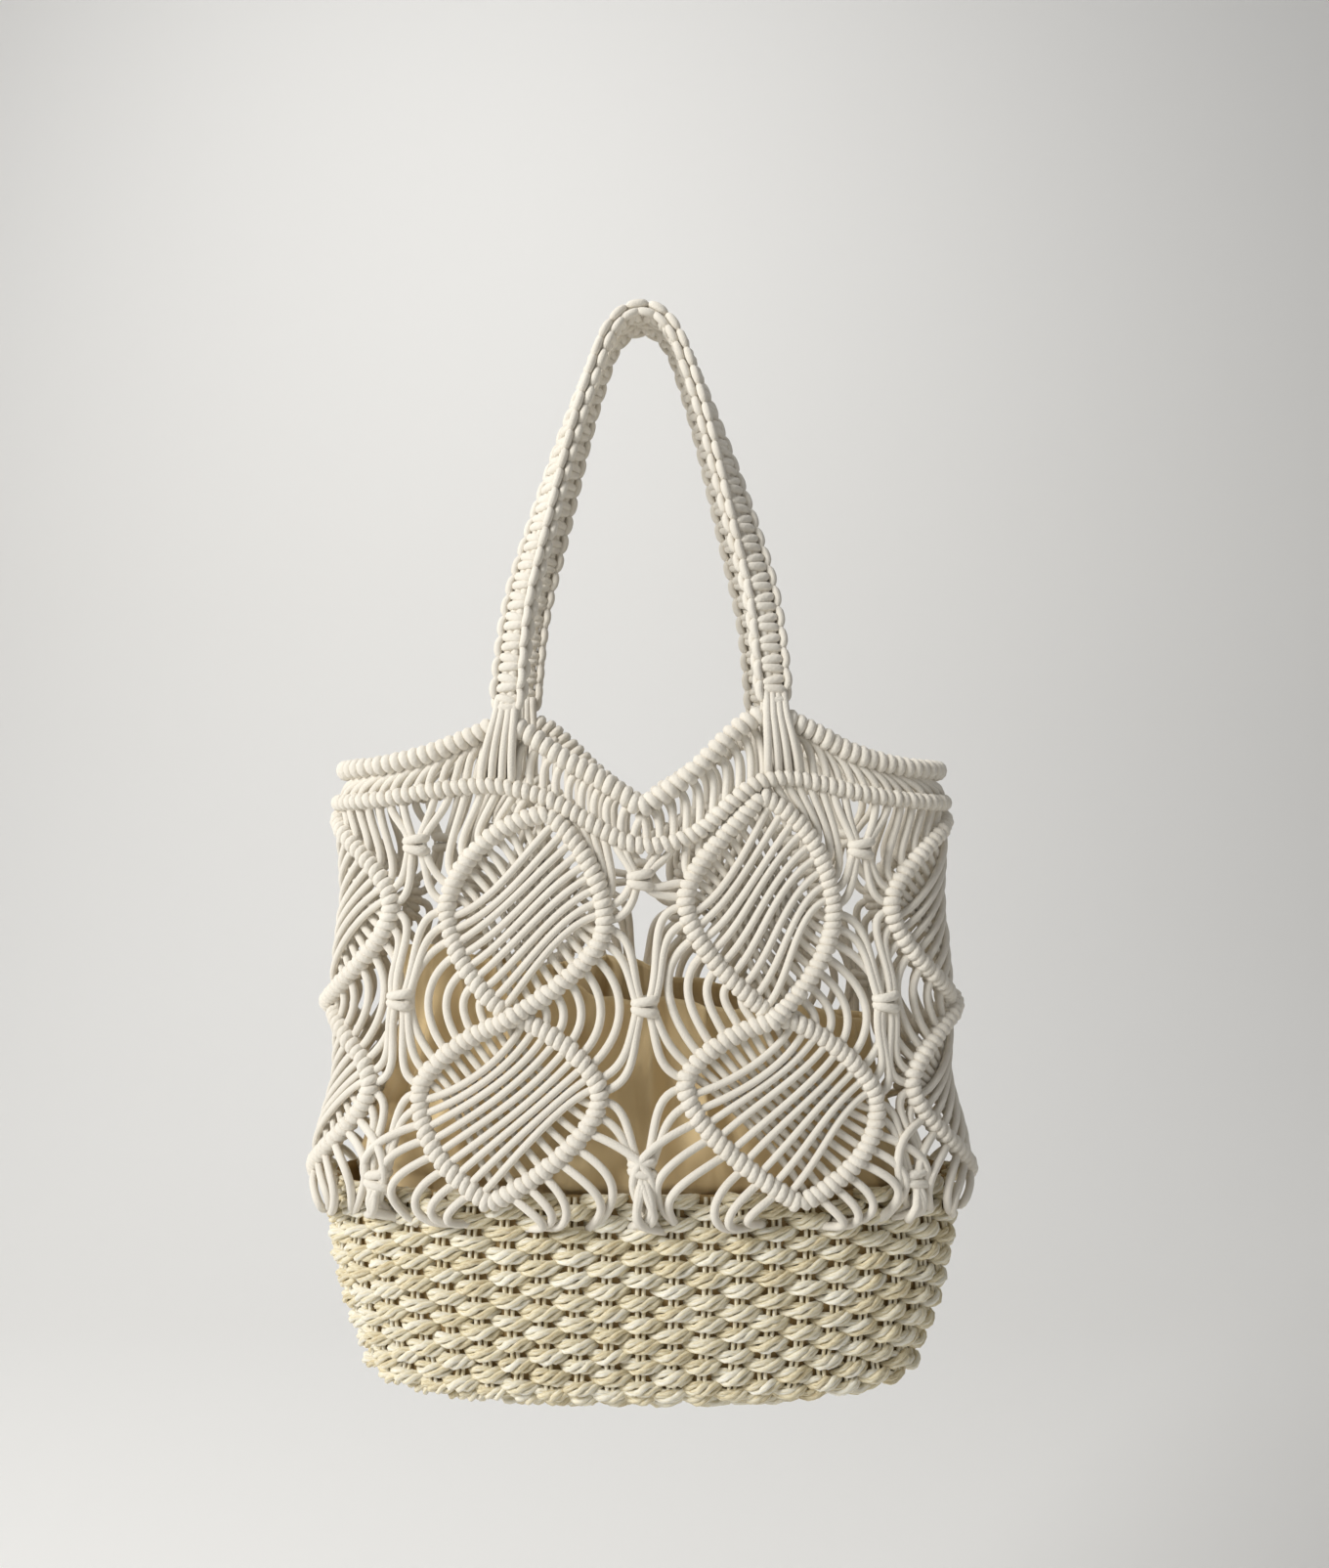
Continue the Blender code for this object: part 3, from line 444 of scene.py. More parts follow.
for name, sizes, gap in (("rim", RIM_HITCHES, FOOT_GAP), ("yoke", YOKE_HITCHES, 0.0)):
    cords = Cords()
    feet = [turn * COLUMNS / 2 + away for turn in (0, 1, 2) for away in STRAP_FEET][:5]
    for start, end in zip(feet, feet[1:]):
        s = np.linspace(start + gap, end - gap, SPAN_STEPS) * PITCH
        hitch(cords, np.stack([s, edge_level(name, s), np.full(SPAN_STEPS, RIB_HEIGHT / 2)], axis=1), **sizes)
    s = np.arange(EDGE_STEPS) / EDGE_STEPS * COLUMNS * PITCH
    core = on_wall(np.stack([s, edge_level(name, s), np.full(EDGE_STEPS, RIB_HEIGHT / 2)], axis=1))
    cords.lay(*core, HOLDING_CORD, closed=True)
    piece = cords.finish(f"{name}_hitches", cotton)
    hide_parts(f"{name}_cord")


# The yoke: the cords hang from the rim cord to the yoke cord side by side, with gaps between them. They leave
# the rim's hitches sideways, lean outwards towards the sides, and run straight down from the straps' feet,
# where four cords in front and four behind carry each foot.
YOKE_SPACING = 0.0063
YOKE_LEAN = 0.07
YOKE_OUT = 0.0032
FOOT_CORDS = (-0.0045, -0.0015, 0.0015, 0.0045)
FOOT_FAN = 1.7
FOOT_RISE = 0.013
FOOT_FRONT_OUTS = (0.0042, 0.0092, YOKE_OUT)
FOOT_BACK_OUTS = (0.0010, 0.0010, 0.0020)
YOKE_SIDE_STEP = 0.0026
YOKE_TUCK = 0.001
RIM_TUCK = 0.0035


def strand(cords, start, end, start_way=None, end_way=None, outs=(0.0, 0.0, 0.0), slack=0.34, steps=14,
           radius=CORD / 2, tint=None, loose=0.0007):
    """Lays one cord on the plan from start to end; it leaves along start_way and comes in against end_way."""
    start, end = np.array(start, float), np.array(end, float)
    length = np.linalg.norm(end - start)
    start_way = (end - start) / length if start_way is None else np.array(start_way, float)
    end_way = (start - end) / length if end_way is None else np.array(end_way, float)
    stray = rng.normal(0, loose, (2, 2))
    first = start + start_way * length * slack + stray[0]
    second = end + end_way * length * slack + stray[1]
    t = np.linspace(0, 1, steps)[:, None]
    flat = (1 - t) ** 3 * start + 3 * t * (1 - t) ** 2 * first + 3 * t * t * (1 - t) * second + t**3 * end
    out = outs[0] * (1 - t) ** 2 + (4 * outs[1] - outs[0] - outs[2]) * t * (1 - t) + outs[2] * t**2
    paths, ups = on_wall(np.concatenate([flat, out], axis=1))
    cords.lay(paths, ups, radius, tint=rng.uniform(0, 1) if tint is None else tint)


half_turn = COLUMNS / 2 * PITCH
for name, middle in (("yoke_front", 0.0), ("yoke_back", half_turn)):
    cords = Cords()
    count = int(half_turn / YOKE_SPACING)
    for i in range(count):
        below = -half_turn / 2 + (i + 0.5) * half_turn / count
        away = abs(below) / PITCH - STRAP_FEET[1]
        above = below - math.copysign(YOKE_LEAN * away * PITCH, below) * (2.2 if away > 0 else 0.6)
        above += rng.uniform(-0.0008, 0.0008)
        side = -math.copysign(1, above)
        if abs(abs(above) - STRAP_FEET[1] * PITCH) < FOOT_GAP * PITCH:
            continue
        out = YOKE_OUT + rng.uniform(-0.0005, 0.0005)
        strand(cords, (middle + above + side * YOKE_SIDE_STEP, edge_level("rim", above) - RIM_TUCK),
               (middle + below, edge_level("yoke", below) + YOKE_TUCK), (-side * 0.9, -0.55), (0, 1),
               (0.0016, out - 0.0006, out), slack=0.36, steps=9)
    for away in STRAP_FEET:
        for shift in FOOT_CORDS:
            top = (middle + away * PITCH + shift, edge_level("rim", away * PITCH) + FOOT_RISE)
            below = away * PITCH + shift * FOOT_FAN
            foot_end = (middle + below, edge_level("yoke", below) + YOKE_TUCK)
            for outs, steps in ((FOOT_FRONT_OUTS, 12), (FOOT_BACK_OUTS, 10)):
                strand(cords, top, foot_end, (0, -1), (0, 1), outs, slack=0.3, steps=steps, loose=0.0003)
    piece = cords.finish(f"{name}_cords", cotton)
    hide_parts(name)


# Leaves: each column has two leaf shapes, one over the other. Their ribs are two hitched cords that cross
# between the leaves, and inside each leaf the cords from the right lie over those from the left.
LEAF_COLUMNS = ("column", "row", "top", "left", "bottom", "right", "left_drop", "right_drop",
                "upper_left", "lower_left", "lower_right", "upper_right", "lean")
LEAVES = (
    ("side", "upper", 0.00, -0.37, 0.00, 0.37, 0.46, 0.46, 0.06, 0.06, 0.06, 0.06, 40),
    ("front_left", "upper", 0.10, -0.36, -0.05, 0.345, 0.46, 0.54, 0.17, 0.08, 0.06, 0.10, 33),
    ("front_right", "upper", 0.03, -0.30, 0.06, 0.355, 0.48, 0.52, 0.03, 0.05, 0.08, 0.14, 52),
    ("side", "lower", 0.00, -0.32, 0.00, 0.32, 0.42, 0.42, 0.06, 0.06, 0.06, 0.06, 40),
    ("front_left", "lower", -0.03, -0.44, -0.08, 0.33, 0.41, 0.42, 0.08, 0.07, 0.08, 0.11, 33),
    ("front_right", "lower", 0.11, -0.31, 0.11, 0.50, 0.35, 0.47, 0.11, 0.06, 0.10, 0.09, 36),
)
COLUMN_NAMES = ("side", "front_left", "front_right")
CORNER_ROUNDING = 0.32
CROSSING_DROP = 0.605
LOWER_TIP_DROP = 0.965
LEAF_CORDS = 9
LEAF_CORD_RADIUS = 0.0019
SIDE_STEPS = 24
RIB_OUT = 0.0045
CROSSING_LIFT = 0.0036
CROSSING_REACH = 0.009
WAY_PROBE = 0.002
LEAF_LAYERS = (("upper_left", "lower_right", 0.0023, 0.0), ("upper_right", "lower_left", 0.0052, 0.0009))
RIB_TUCK_OUT = 0.0042


def leaf_row(column, row):
    """The table row of a leaf; a column past the front repeats the one opposite."""
    for values in LEAVES:
        found = dict(zip(LEAF_COLUMNS, values))
        if (found["column"], found["row"]) == (COLUMN_NAMES[column % (COLUMNS // 2)], row):
            return found


def column_middle(column):
    """Where a column's middle lies round the bag. Columns 1 and 2 are on the front."""
    return (column - COLUMNS / 4) * PITCH


def leaf_side(column, row, side):
    """One side of a leaf's rib, such as upper_left, as plan points from its tip to its corner."""
    leaf = leaf_row(column, row)
    half, hand = side.split("_")
    middle = column_middle(column)
    tip_s = middle + leaf["top" if half == "upper" else "bottom"] * PITCH
    corner_s = middle + leaf[hand] * PITCH
    yoke_z = float(edge_level("yoke", middle + leaf["top"] * PITCH)) - RIB_HEIGHT * 0.75
    top = yoke_z if row == "upper" else level(CROSSING_DROP)
    bottom = level(CROSSING_DROP) if row == "upper" else level(LOWER_TIP_DROP)
    tip_z = top if half == "upper" else bottom
    corner_z = top + (bottom - top) * leaf[f"{hand}_drop"]
    bulge = leaf[side]
    ds, dz = corner_s - tip_s, corner_z - tip_z
    first = (tip_s + ds / 3 + math.copysign(abs(dz) * bulge * 1.5, ds),
             tip_z + dz / 3 - math.copysign(abs(ds) * bulge * 1.5, dz))
    second = (corner_s, corner_z - dz * CORNER_ROUNDING)
    t = np.linspace(0, 1, SIDE_STEPS + 1)[:, None]
    return ((1 - t) ** 3 * np.array([tip_s, tip_z]) + 3 * t * (1 - t) ** 2 * np.array(first)
            + 3 * t * t * (1 - t) * np.array(second) + t**3 * np.array([corner_s, corner_z]))


def side_place(column, row, side, share):
    """A place on a leaf's side, a share of the way from its tip, and the way out of the leaf there."""
    line = leaf_side(column, row, side)
    along = np.concatenate([[0], np.cumsum(np.linalg.norm(np.diff(line, axis=0), axis=1))])
    at = share * along[-1]
    place = np.array([np.interp(at, along, line[:, k]) for k in (0, 1)])
    ahead = np.array([np.interp(at + WAY_PROBE, along, line[:, k]) for k in (0, 1)])
    behind = np.array([np.interp(at - WAY_PROBE, along, line[:, k]) for k in (0, 1)])
    way = (ahead - behind) / np.linalg.norm(ahead - behind)
    turned = np.array([way[1], -way[0]])
    outward = turned if turned[0] * (1 if side.endswith("right") else -1) > 0 else -turned
    return place, outward


for column in range(COLUMNS):
    cords = Cords()
    crossing_s = column_middle(column) + leaf_row(column, "upper")["bottom"] * PITCH
    crossing = np.array([crossing_s, level(CROSSING_DROP)])
    for first, second, lift in (("left", "right", -0.35), ("right", "left", 1.0)):
        upper_out = leaf_side(column, "upper", f"upper_{first}")
        upper_in = leaf_side(column, "upper", f"lower_{first}")[::-1]
        lower_out = leaf_side(column, "lower", f"upper_{second}")
        lower_in = leaf_side(column, "lower", f"lower_{second}")[::-1]
        line = np.concatenate([upper_out, upper_in[1:], lower_out[2:], lower_in[1:]])
        away = np.linalg.norm(line - crossing, axis=1)
        out = RIB_OUT + lift * CROSSING_LIFT * np.exp(-((away / CROSSING_REACH) ** 2))
        hitch(cords, np.concatenate([line, out[:, None]], axis=1))
    for row in ("upper", "lower"):
        for start_side, end_side, out, swell in LEAF_LAYERS:
            for i in range(LEAF_CORDS):
                share = (i + 0.75) / (LEAF_CORDS + 0.5)
                start, start_way = side_place(column, row, start_side, share)
                end, end_way = side_place(column, row, end_side, 1 - share)
                end_out = min(out, RIB_TUCK_OUT)
                outs = (end_out, out + swell + rng.uniform(-0.0004, 0.0004), end_out)
                strand(cords, start, end, -start_way, -end_way, outs,
                       slack=0.30 + rng.uniform(-0.03, 0.03), steps=18, radius=LEAF_CORD_RADIUS)
    piece = cords.finish(f"leaves_{column}", cotton)
    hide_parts(f"leaf_{column}_upper", f"leaf_{column}_lower")


# Links: between two columns the cords are gathered in fours by square knots, swing round the crossings in
# nested arcs, and at the hem run down in bunches that are tied over the straw
KNOT_COLUMNS = ("link", "level", "round", "drop")
KNOTS = (
    ("left", "top", 0.50, 0.262), ("left", "middle", 0.46, 0.575), ("left", "bottom", 0.46, 0.930),
    ("front", "top", 0.50, 0.330), ("front", "middle", 0.52, 0.580), ("front", "bottom", 0.51, 0.890),
    ("right", "top", 0.48, 0.270), ("right", "middle", 0.56, 0.580), ("right", "bottom", 0.59, 0.930),
)
LINK_NAMES = ("left", "front", "right")
KNOT_LEVELS = ("top", "middle", "bottom")
KNOT_HALF_WIDTH = 0.0046
KNOT_HALF_DEPTH = 0.0029
KNOT_CORD = 0.0024
KNOT_OUT = 0.0046
ARC_SHARES = (0.13, 0.25, 0.37, 0.50, 0.63, 0.75)
CORNER_SHARES = (0.87, 0.97)
BUNCH_COLUMNS = ("column", "near_left", "far_left", "knot_left", "near_right", "far_right", "knot_right")
BUNCHES = (
    ("side", -0.014, -0.034, -0.040, 0.014, 0.034, 0.040),
    ("front_left", -0.012, -0.038, -0.043, 0.017, 0.044, 0.059),
    ("front_right", -0.018, -0.052, -0.056, 0.014, 0.040, 0.045),
)
BUNCH_Z = -0.4455
LOOP_LEAN = 0.35
BUNCH_TUCK = -0.0046
LINK_OUT = 0.0026
RIB_SIDE_OUT = 0.0032
SWING_OUT = 0.0042
LINK_TOP_CORDS = 8
KNOT_INSET = 0.0034
KNOT_RISE = 0.0024
KNOT_TURN = 0.0009
BUNCH_SPREAD = 0.0026
LOOP_STEPS = ("near", "near", "near", "far", "far", "knot")


def knot_place(link_index, step):
    """Where a square knot lies on the plan. Links past the front repeat the ones opposite."""
    for values in KNOTS:
        found = dict(zip(KNOT_COLUMNS, values))
        if (found["link"], found["level"]) == (LINK_NAMES[link_index % (COLUMNS // 2)], step):
            return np.array([column_middle(link_index) + found["round"] * PITCH, level(found["drop"])])


def square_knot(cords, place):
    """Two half knots one above the other, each a round of cord that crosses the front."""
    angle = 2 * math.pi * np.arange(16) / 16
    for rise, turn in ((KNOT_RISE, 1), (-KNOT_RISE, -1)):
        wide = KNOT_HALF_WIDTH * np.sign(np.cos(angle)) * np.abs(np.cos(angle)) ** 0.8
        deep = KNOT_HALF_DEPTH * np.sign(np.sin(angle)) * np.abs(np.sin(angle)) ** 0.9
        plan = np.stack([place[0] + wide, place[1] + rise + turn * KNOT_TURN * wide / KNOT_HALF_WIDTH,
                         KNOT_OUT + deep], axis=1)
        paths, normal = on_wall(plan)
        middle = on_wall(np.array([[place[0], place[1] + rise, KNOT_OUT]]))[0]
        cords.lay(paths, paths - middle, KNOT_CORD, closed=True, tint=rng.uniform(0, 1))


for index in range(COLUMNS):
    cords = Cords()
    knots = [knot_place(index, step) for step in KNOT_LEVELS]
    for place in knots:
        square_knot(cords, place)
    for column, hand, sign in ((index, "right", 1), (index + 1, "left", -1)):
        upper_side, lower_side = f"upper_{hand}", f"lower_{hand}"
        leaf = leaf_row(column, "upper")
        tip_s = column_middle(column) + leaf["top"] * PITCH
        reach = abs(knots[0][0] - tip_s) - 0.004
        count = LINK_TOP_CORDS
        into_knot, from_knot = (-0.35 * sign, 1), (-0.3 * sign, -1)
        for i in range(count):
            s = tip_s + sign * reach * (i + 0.35) / count
            above = (s, float(edge_level("yoke", s)) - 0.001)
            if i < count - 2:
                end, way = side_place(column, "upper", upper_side, (i + 0.5) / (count - 1.2))
                strand(cords, above, end, (0, -1), way, (RIB_SIDE_OUT, LINK_OUT, RIB_SIDE_OUT), slack=0.3)
            else:
                end = knots[0] + (sign * -KNOT_INSET * (1 if i == count - 2 else 0.4), 0.001)
                strand(cords, above, end, (0, -1), into_knot, (RIB_SIDE_OUT, LINK_OUT + 0.001, KNOT_OUT),
                       slack=0.34)
        for share, inset in zip(CORNER_SHARES, (1.0, 0.4)):
            knot_side = np.array([-sign * KNOT_INSET * inset, 0])
            top, way = side_place(column, "upper", upper_side, share)
            strand(cords, knots[0] + knot_side, top, from_knot, way, (KNOT_OUT, 0.0040, RIB_SIDE_OUT),
                   slack=0.4)
            low, way = side_place(column, "upper", lower_side, share)
            strand(cords, low, knots[1] + knot_side, way, into_knot, (RIB_SIDE_OUT, SWING_OUT, KNOT_OUT),
                   slack=0.42, steps=18)
            top, way = side_place(column, "lower", upper_side, share)
            strand(cords, knots[1] + knot_side, top, from_knot, way, (KNOT_OUT, SWING_OUT, RIB_SIDE_OUT),
                   slack=0.42, steps=18)
            low, way = side_place(column, "lower", lower_side, share)
            strand(cords, low, knots[2] + knot_side, way, into_knot, (RIB_SIDE_OUT, SWING_OUT, KNOT_OUT),
                   slack=0.4)
        for share in ARC_SHARES:
            start, start_way = side_place(column, "upper", lower_side, share)
            end, end_way = side_place(column, "lower", upper_side, share)
            strand(cords, start, end, start_way, end_way, (RIB_SIDE_OUT, LINK_OUT, RIB_SIDE_OUT), slack=0.44,
                   steps=20)
        tip_s = column_middle(column) + leaf_row(column, "lower")["bottom"] * PITCH
        bunches = next(dict(zip(BUNCH_COLUMNS, values)) for values in BUNCHES
                       if values[0] == COLUMN_NAMES[column % (COLUMNS // 2)])
        for i, share in enumerate(ARC_SHARES):
            start, start_way = side_place(column, "lower", lower_side, share)
            step = LOOP_STEPS[i]
            spread = (i % 3 - 1) * BUNCH_SPREAD
            end = (tip_s + bunches[f"{step}_{hand}"] + spread * sign + rng.normal(0, 0.0007),
                   BUNCH_Z + rng.normal(0.0006, 0.0009))
            leave = start_way + (LOOP_LEAN * sign, 0.12)
            if step == "near":
                strand(cords, start, end, leave, (0.95 * sign, 0.12 - 0.1 * i),
                       (RIB_SIDE_OUT, 0.0072, BUNCH_TUCK), slack=0.80 - 0.06 * i, steps=22, loose=0.0009)
            else:
                strand(cords, start, end, leave, (0.62 * sign, 0.8),
                       (RIB_SIDE_OUT, 0.0068 + 0.0006 * (i % 2), BUNCH_TUCK), slack=0.52, steps=22,
                       loose=0.0012)
        for spread in (0.0008, 0.0040):
            end = (tip_s + bunches[f"knot_{hand}"] + sign * spread, BUNCH_Z + 0.001 + rng.normal(0, 0.0008))
            strand(cords, knots[2] - (sign * spread * 0.6, 0), end, (0.25 * sign, -1), (0.75 * sign, 0.35),
                   (KNOT_OUT, 0.0078, BUNCH_TUCK), slack=0.6, steps=18, loose=0.0009)
    piece = cords.finish(f"link_cords_{index}", cotton)
    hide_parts(f"link_{index}")


# Straps: flat bands of square knots over hidden filler cords. Each half knot is a bar of cord across the
# band, the two bars of a knot lie close, and on both edges the cord runs on to the next knot in two rails of
# long bumps. Each band lies flat over the top and turns to face forwards on its way down to its feet.
STRAP_WIDTH = 0.018
STRAP_THICKNESS = 0.009
STRAP_SPACING = 0.0193
STRAP_KNOT_PITCH = 0.0051
STRAP_BAR_RADIUS = 0.0023
STRAP_RAIL_RADIUS = 0.0021
STRAP_BAR_REACH = 0.0045
STRAP_PAIRING = 0.0005
STRAP_RAIL_THROUGH = 0.0021
STRAP_FILLER_RADIUS = 0.0026
STRAP_FILLER_SHIFT = 0.0018
STRAP_BAR_STEPS = 18
STRAP_BAR_LEAN = 0.0006
STRAP_FOOT_RISE = 0.0065
STRAP_COLUMNS = ("drop", "span", "depth", "left_turn", "right_turn")
STRAP_LINE = (
    (0.000, 0.00, 0.00, -1.00, -1.00),
    (0.012, 0.13, 0.01, -0.99, -0.99),
    (0.050, 0.24, 0.05, -0.97, -0.97),
    (0.110, 0.33, 0.12, -0.92, -0.92),
    (0.290, 0.525, 0.32, -0.78, -0.76),
    (0.560, 0.765, 0.60, -0.54, -0.42),
    (0.760, 0.92, 0.80, -0.36, -0.20),
    (1.000, 1.00, 1.00, -0.14, -0.06),
)


def smooth_path(points, spacing):
    """Points a set distance apart on a smooth line through the given ones."""
    points = np.array(points, float)
    dense = []
    for i in range(len(points) - 1):
        a, b = points[i], points[i + 1]
        start, end = (b - points[max(i - 1, 0)]) / 2, (points[min(i + 2, len(points) - 1)] - a) / 2
        for t in np.linspace(0, 1, 24, endpoint=False):
            dense.append(a + t * start + t * t * (3 * (b - a) - 2 * start - end)
                         + t**3 * (start + end - 2 * (b - a)))
    dense = np.array(dense + [points[-1]])
    along = np.concatenate([[0], np.cumsum(np.linalg.norm(np.diff(dense[:, :3], axis=0), axis=1))])
    at = np.linspace(0, along[-1], int(round(along[-1] / spacing)) + 1)
    return np.stack([np.interp(at, along, dense[:, k]) for k in range(dense.shape[1])], axis=1)


top_z, top_y = STRAP_THICKNESS / 2, -STRAP_SPACING / 2
strap_halves = []
for away, side in zip(STRAP_FEET, ("left_turn", "right_turn")):
    foot = on_wall(np.array([[away * PITCH, RIM_Z, RIB_HEIGHT / 2]]))[0][0]
    foot_z = float(edge_level("rim", away * PITCH)) + STRAP_FOOT_RISE
    strap_rows = [dict(zip(STRAP_COLUMNS, values)) for values in STRAP_LINE]
    strap_halves.append([(foot[0] * row["span"], top_y + (foot[1] - top_y) * row["depth"],
                          top_z + (foot_z - top_z) * row["drop"], row[side]) for row in strap_rows])
strap_line = smooth_path(strap_halves[0][:0:-1] + strap_halves[1], STRAP_KNOT_PITCH)
for name, facing in (("strap_front", 1), ("strap_back", -1)):
    cords = Cords()
    place, turn = strap_line[:, :3] * (facing, facing, 1), strap_line[:, 3:] * math.pi / 2
    along = np.gradient(place, axis=0)
    along /= np.linalg.norm(along, axis=1, keepdims=True)
    outward = np.cross((0, -facing, 0), along)
    outward /= np.linalg.norm(outward, axis=1, keepdims=True)
    flat = np.cross(along, outward)
    wide = outward * np.cos(turn) + flat * np.sin(turn)
    thick = flat * np.cos(turn) - outward * np.sin(turn)
    angle = 2 * math.pi * np.arange(STRAP_BAR_STEPS) / STRAP_BAR_STEPS
    across = STRAP_BAR_REACH * np.sign(np.cos(angle)) * np.abs(np.cos(angle)) ** 0.8
    through = (STRAP_THICKNESS / 2 - STRAP_BAR_RADIUS) * np.sign(np.sin(angle)) * np.abs(np.sin(angle)) ** 0.6
    count = len(place)
    hand = np.where(np.arange(count) % 2, 1, -1)[:, None]
    lean = hand * STRAP_BAR_LEAN + rng.uniform(-0.0003, 0.0003, (count, 1))
    offset = wide[:, None] * across[:, None] + thick[:, None] * through[:, None]
    paths = place[:, None] + offset + along[:, None] * (lean * across / across.max())[..., None]
    paths -= along[:, None] * hand[:, None] * STRAP_PAIRING
    swell = STRAP_BAR_RADIUS * (0.82 + 0.24 * np.abs(np.sin(angle)))
    swell = swell * (1 + rng.uniform(-0.04, 0.04, (count, 1)))
    cords.lay(paths, offset, swell, closed=True, tint=rng.uniform(0, 1, count))
    for filler in (-STRAP_FILLER_SHIFT, STRAP_FILLER_SHIFT):
        cords.lay(place + wide * filler, thick, STRAP_FILLER_RADIUS)
    bump = np.linspace(-1, 1, 11)
    for sign, layer in ((-1, -1), (-1, 1), (1, -1), (1, 1)):
        at = np.arange(1 + (sign * layer > 0), count - 1, 2)
        side = STRAP_WIDTH / 2 - STRAP_RAIL_RADIUS * (1.95 - 1.15 * np.sqrt(1 - 0.98 * bump**2))
        through = layer * STRAP_RAIL_THROUGH * (1 - 0.25 * bump**4)
        paths = (place[at][:, None] + sign * wide[at][:, None] * side[:, None]
                 + along[at][:, None] * (bump * STRAP_KNOT_PITCH * 0.97)[:, None]
                 + thick[at][:, None] * through[:, None])
        cords.lay(paths, np.broadcast_to(thick[at][:, None], paths.shape),
                  STRAP_RAIL_RADIUS * (1 - 0.42 * bump**4), tint=rng.uniform(0, 1, len(at)))
    piece = cords.finish(f"{name}_knots", cotton)
    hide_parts(name)


# Straw base: rows of twisted straw twined over upright pairs. In each row a four-ply float passes over every
# other pair and dips behind the next one, and the rows change over, so that the gaps stand like bricks half a
# brick apart. Across the bottom the rows go on as ever smaller rings.
BASKET_COLUMNS = ("rise", "width", "depth", "squareness")
BASKET_SECTIONS = (
    (0.00, 0.60, 0.56, 2.6),
    (0.06, 0.79, 0.82, 2.6),
    (0.21, 0.88, 0.93, 2.5),
    (0.36, 0.925, 0.97, 2.4),
    (0.64, 0.975, 0.99, 2.3),
    (1.00, 1.00, 1.00, 2.3),
)
STRAW_ROW = 0.0054
STRAW_PAIR = 0.0166
STRAW_REACH = 0.0118
STRAW_PLIES = 4
STRAW_PLY = 0.0016
STRAW_TWIST = 0.0025
STRAW_TURN = 2.9
STRAW_SINK = 0.0068
STRAW_BULGE = 0.0056
STRAW_STRAY = 0.00018
STRAW_ROUGH_STRAY = 0.0002
STRAW_FLOAT_STEPS = 11
STRAW_PARTS = (("straw_rows", 0.55), ("straw_rows_low", 0.08), ("straw_bottom", None))
UPRIGHT_SHIFT = 0.0016
UPRIGHT_RADIUS = 0.0010
UPRIGHT_SINK = 0.0034
UPRIGHT_WEAVE = 0.0007
UPRIGHT_STEPS = 70
BASKET_STEPS = 720
WALL_RINGS = 60
BOTTOM_RINGS = 20
CORE_ROWS = 40
CORE_SIDES = 96
CORE_FACES_IN = (0.0052, 0.0058)


def basket_ring(rise, inward):
    """A ring of the basket's outer face at a share of its height, or drawn in across its bottom."""
    width = float(table_value(BASKET_SECTIONS, BASKET_COLUMNS, "width", rise))
    depth = float(table_value(BASKET_SECTIONS, BASKET_COLUMNS, "depth", rise))
    square = float(table_value(BASKET_SECTIONS, BASKET_COLUMNS, "squareness", rise))
    half_depth = BASKET_DEPTH / 2 * depth * (1 - inward)
    half_width = BASKET_WIDTH / 2 * width - BASKET_DEPTH / 2 * depth * inward
    flat = ring_of((half_width, max(half_depth, 0.0005), square), BASKET_STEPS)
    z = BASKET_BOTTOM_Z + BASKET_HEIGHT * rise
    return np.concatenate([flat, np.full((BASKET_STEPS + 1, 1), z)], axis=1)


profile = [(rise, 0.0) for rise in np.linspace(1, 0, WALL_RINGS) ** 1.5]
profile += [(0.0, inward) for inward in np.linspace(0, 0.96, BOTTOM_RINGS)[1:]]
rings = np.array([basket_ring(rise, inward) for rise, inward in profile])
profile_along = np.concatenate([[0], np.cumsum(np.linalg.norm(np.diff(rings, axis=0), axis=2).mean(axis=1))])
straw_rows = np.arange(0.35, profile_along[-1] / STRAW_ROW - 0.3) * STRAW_ROW


def on_basket(share, down, out):
    """Points a share of the way round the basket and a distance down its profile, and the way out there."""
    share, down = np.broadcast_arrays(np.asarray(share, float), np.asarray(down, float))

    def place(share, down):
        row = np.interp(down, profile_along, np.arange(len(profile)))
        row = np.clip(row, 0, len(profile) - 1.001)
        column = (share % 1.0) * BASKET_STEPS
        i, j = row.astype(int), column.astype(int)
        u, v = (row - i)[..., None], (column - j)[..., None]
        upper = rings[i, j] * (1 - v) + rings[i, j + 1] * v
        lower = rings[i + 1, j] * (1 - v) + rings[i + 1, j + 1] * v
        return upper * (1 - u) + lower * u

    round_way = place(share + 0.002, down) - place(share - 0.002, down)
    inside = np.clip(down, 0.0, profile_along[-1])
    down_way = place(share, inside + 0.001) - place(share, inside - 0.001)
    normal = np.cross(down_way, round_way)
    normal /= np.linalg.norm(normal, axis=-1, keepdims=True)
    return place(share, down) + normal * np.asarray(out)[..., None], normal


